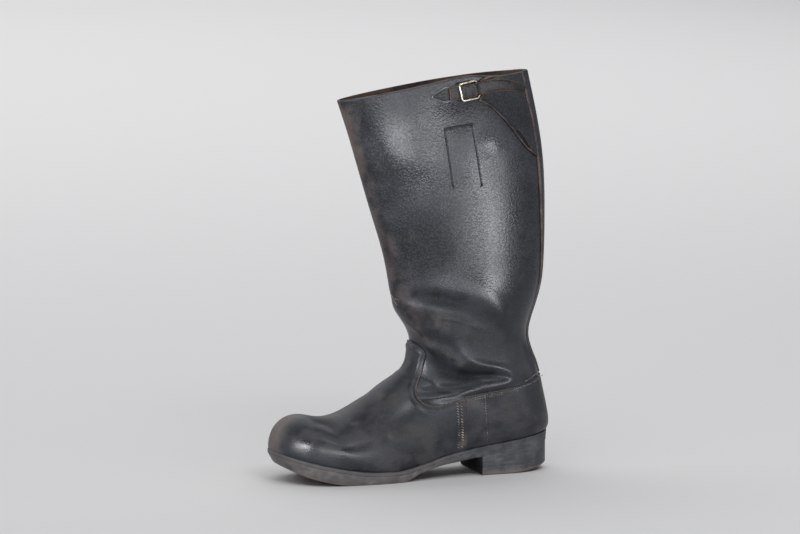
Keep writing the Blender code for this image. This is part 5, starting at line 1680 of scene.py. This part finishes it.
TOP_PIECE_EDGE = (
    SolePoint(-8.0, 0.0), SolePoint(-0.1, 0.0), SolePoint(0.0, 0.02), SolePoint(0.0, 0.55),
    SolePoint(-0.3, 0.78), SolePoint(-0.9, 0.92), SolePoint(-1.9, 0.99), SolePoint(-3.0, 1.0),
    SolePoint(-8.0, 1.0),
)
top_piece_top = TOP_PIECE_THICKNESS + GAP - CLOSED_GAP
top_piece_rings = []
for point in TOP_PIECE_EDGE:
    ring = ring_of("heel", point.out, HEEL_BREAST_FOOT_X - point.out)
    worn = ramp(ring[:, 0], HEEL_FLAT_END_X, HEEL_BACK_X - HEEL_FLAT_END_X)
    top_piece_rings.append(at_height(ring, point.down, top_piece_top, HEEL_WEAR_RISE * worn**2))
top_leather = sole_finish("top_piece_hide", 1.0, 0.7, 0.0, HEEL_BREAST_FOOT_X + PLACE[0])
top_piece_down = column(TOP_PIECE_EDGE, "down")
top_piece = ringed_piece("heel_top_leather", top_piece_rings, top_leather, down=top_piece_down)
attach(stack, "root")
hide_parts("heel_stack")
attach(top_piece, "root")
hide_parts("heel_top_piece")

# The floor
# A plain pale floor of paper, level all round the boot, with a fine fibre in it. It is wide enough to
# fill the picture from any side.

FLOOR_HALF_WIDTH = 14.0
PAPER_PALE = (0.82, 0.81, 0.81, 1.0)
PAPER_WHITE = (0.86, 0.85, 0.85, 1.0)
corners = ((-1, -1), (1, -1), (1, 1), (-1, 1))
floor_corners = [(x * FLOOR_HALF_WIDTH, y * FLOOR_HALF_WIDTH, 0.0) for x, y in corners]
floor_mesh = bpy.data.meshes.new("pale_floor")
floor_mesh.from_pydata(floor_corners, [], [(0, 1, 2, 3)])
paper = Finish("floor_paper")
fibre = paper.noise(300.0, 3.0)
paper_color = paper.blend(fibre, PAPER_PALE, PAPER_WHITE)
floor_mesh.materials.append(paper.done(paper_color, 0.85 + 0.05 * fibre, fibre, 0.0001))
floor = into_scene("pale_floor", floor_mesh)

# The light
# Soft boxes as in a plain studio: four low ones beside the camera and toe, a panel on either side, two
# boxes above and a wide ceiling panel over the floor behind the boot, with pale walls all round. The low
# boxes and the side panels light the boot alone, so that the floor stays even from every side.

Box = namedtuple("Box", "name place width height power aim", defaults=[(0.0, 0.0, 0.2)])
BOXES = (
    Box("tall_box", (1.46, -1.90, 0.27), 0.76, 0.50, 12.0),
    Box("middle_box", (0.64, -2.42, 0.25), 0.98, 0.46, 10.5),
    Box("low_box", (-0.64, -2.94, 0.23), 1.36, 0.46, 25.0),
    Box("toe_box", (-1.99, -1.34, 0.40), 1.3, 0.45, 37.0),
    Box("front_box", (0.12, -1.60, 1.60), 0.7, 0.5, 5.0),
    Box("overhead_box", (0.0, -1.0, 2.4), 3.2, 2.2, 25.0),
    Box("side_panel", (2.9, -0.75, 0.9), 2.6, 1.6, 8.0),
    Box("edge_panel", (-2.3, 1.6, 0.8), 2.0, 1.4, 11.0),
    Box("ceiling_panel", (0.0, 7.0, 3.0), 10.0, 12.0, 345.0, (0.0, 7.0, 0.0)),
)
STUDIO_COLOR = (0.90, 0.95, 1.0, 1.0)
STUDIO_STRENGTH = 0.20
BOOT_ONLY = ("tall_box", "middle_box", "low_box", "toe_box", "side_panel", "edge_panel")
boot_pieces = bpy.data.collections.new("boot_pieces")
for piece in bpy.context.scene.objects:
    if piece.type == "MESH" and piece != floor:
        boot_pieces.objects.link(piece)
for box in BOXES:
    lamp = bpy.data.lights.new(box.name, "AREA")
    lamp.shape = "RECTANGLE"
    lamp.size, lamp.size_y = box.width, box.height
    lamp.energy = box.power
    holder = into_scene(box.name, lamp)
    holder.location = box.place
    holder.rotation_euler = (Vector(box.aim) - holder.location).to_track_quat("-Z", "Y").to_euler()
    if box.name in BOOT_ONLY:
        holder.light_linking.receiver_collection = boot_pieces
studio = bpy.data.worlds.new("studio")
studio.use_nodes = True
walls = studio.node_tree.nodes["Background"]
walls.inputs["Color"].default_value = STUDIO_COLOR
walls.inputs["Strength"].default_value = STUDIO_STRENGTH
bpy.context.scene.world = studio

# The camera
# A long lens on the boot's outer side, a little towards its front and a little above it, at a distance
# of four metres.

CAMERA_AZIMUTH = np.radians(18.0)
CAMERA_ELEVATION = np.radians(7.2)
CAMERA_DISTANCE = 4.0
CAMERA_LENS = 171.0
CAMERA_AIM = Vector((-0.00915, 0.0051, 0.2206))
level = np.cos(CAMERA_ELEVATION)
away = (-np.sin(CAMERA_AZIMUTH) * level, -np.cos(CAMERA_AZIMUTH) * level, np.sin(CAMERA_ELEVATION))
lens = bpy.data.cameras.new("camera")
lens.lens = CAMERA_LENS
lens.sensor_width = 36.0
lens.clip_end = 50.0
camera = into_scene("camera", lens)
camera.location = CAMERA_AIM + Vector(away) * CAMERA_DISTANCE
camera.rotation_euler = (CAMERA_AIM - camera.location).to_track_quat("-Z", "Y").to_euler()
bpy.context.scene.camera = camera
bpy.context.scene.view_settings.view_transform = "Standard"
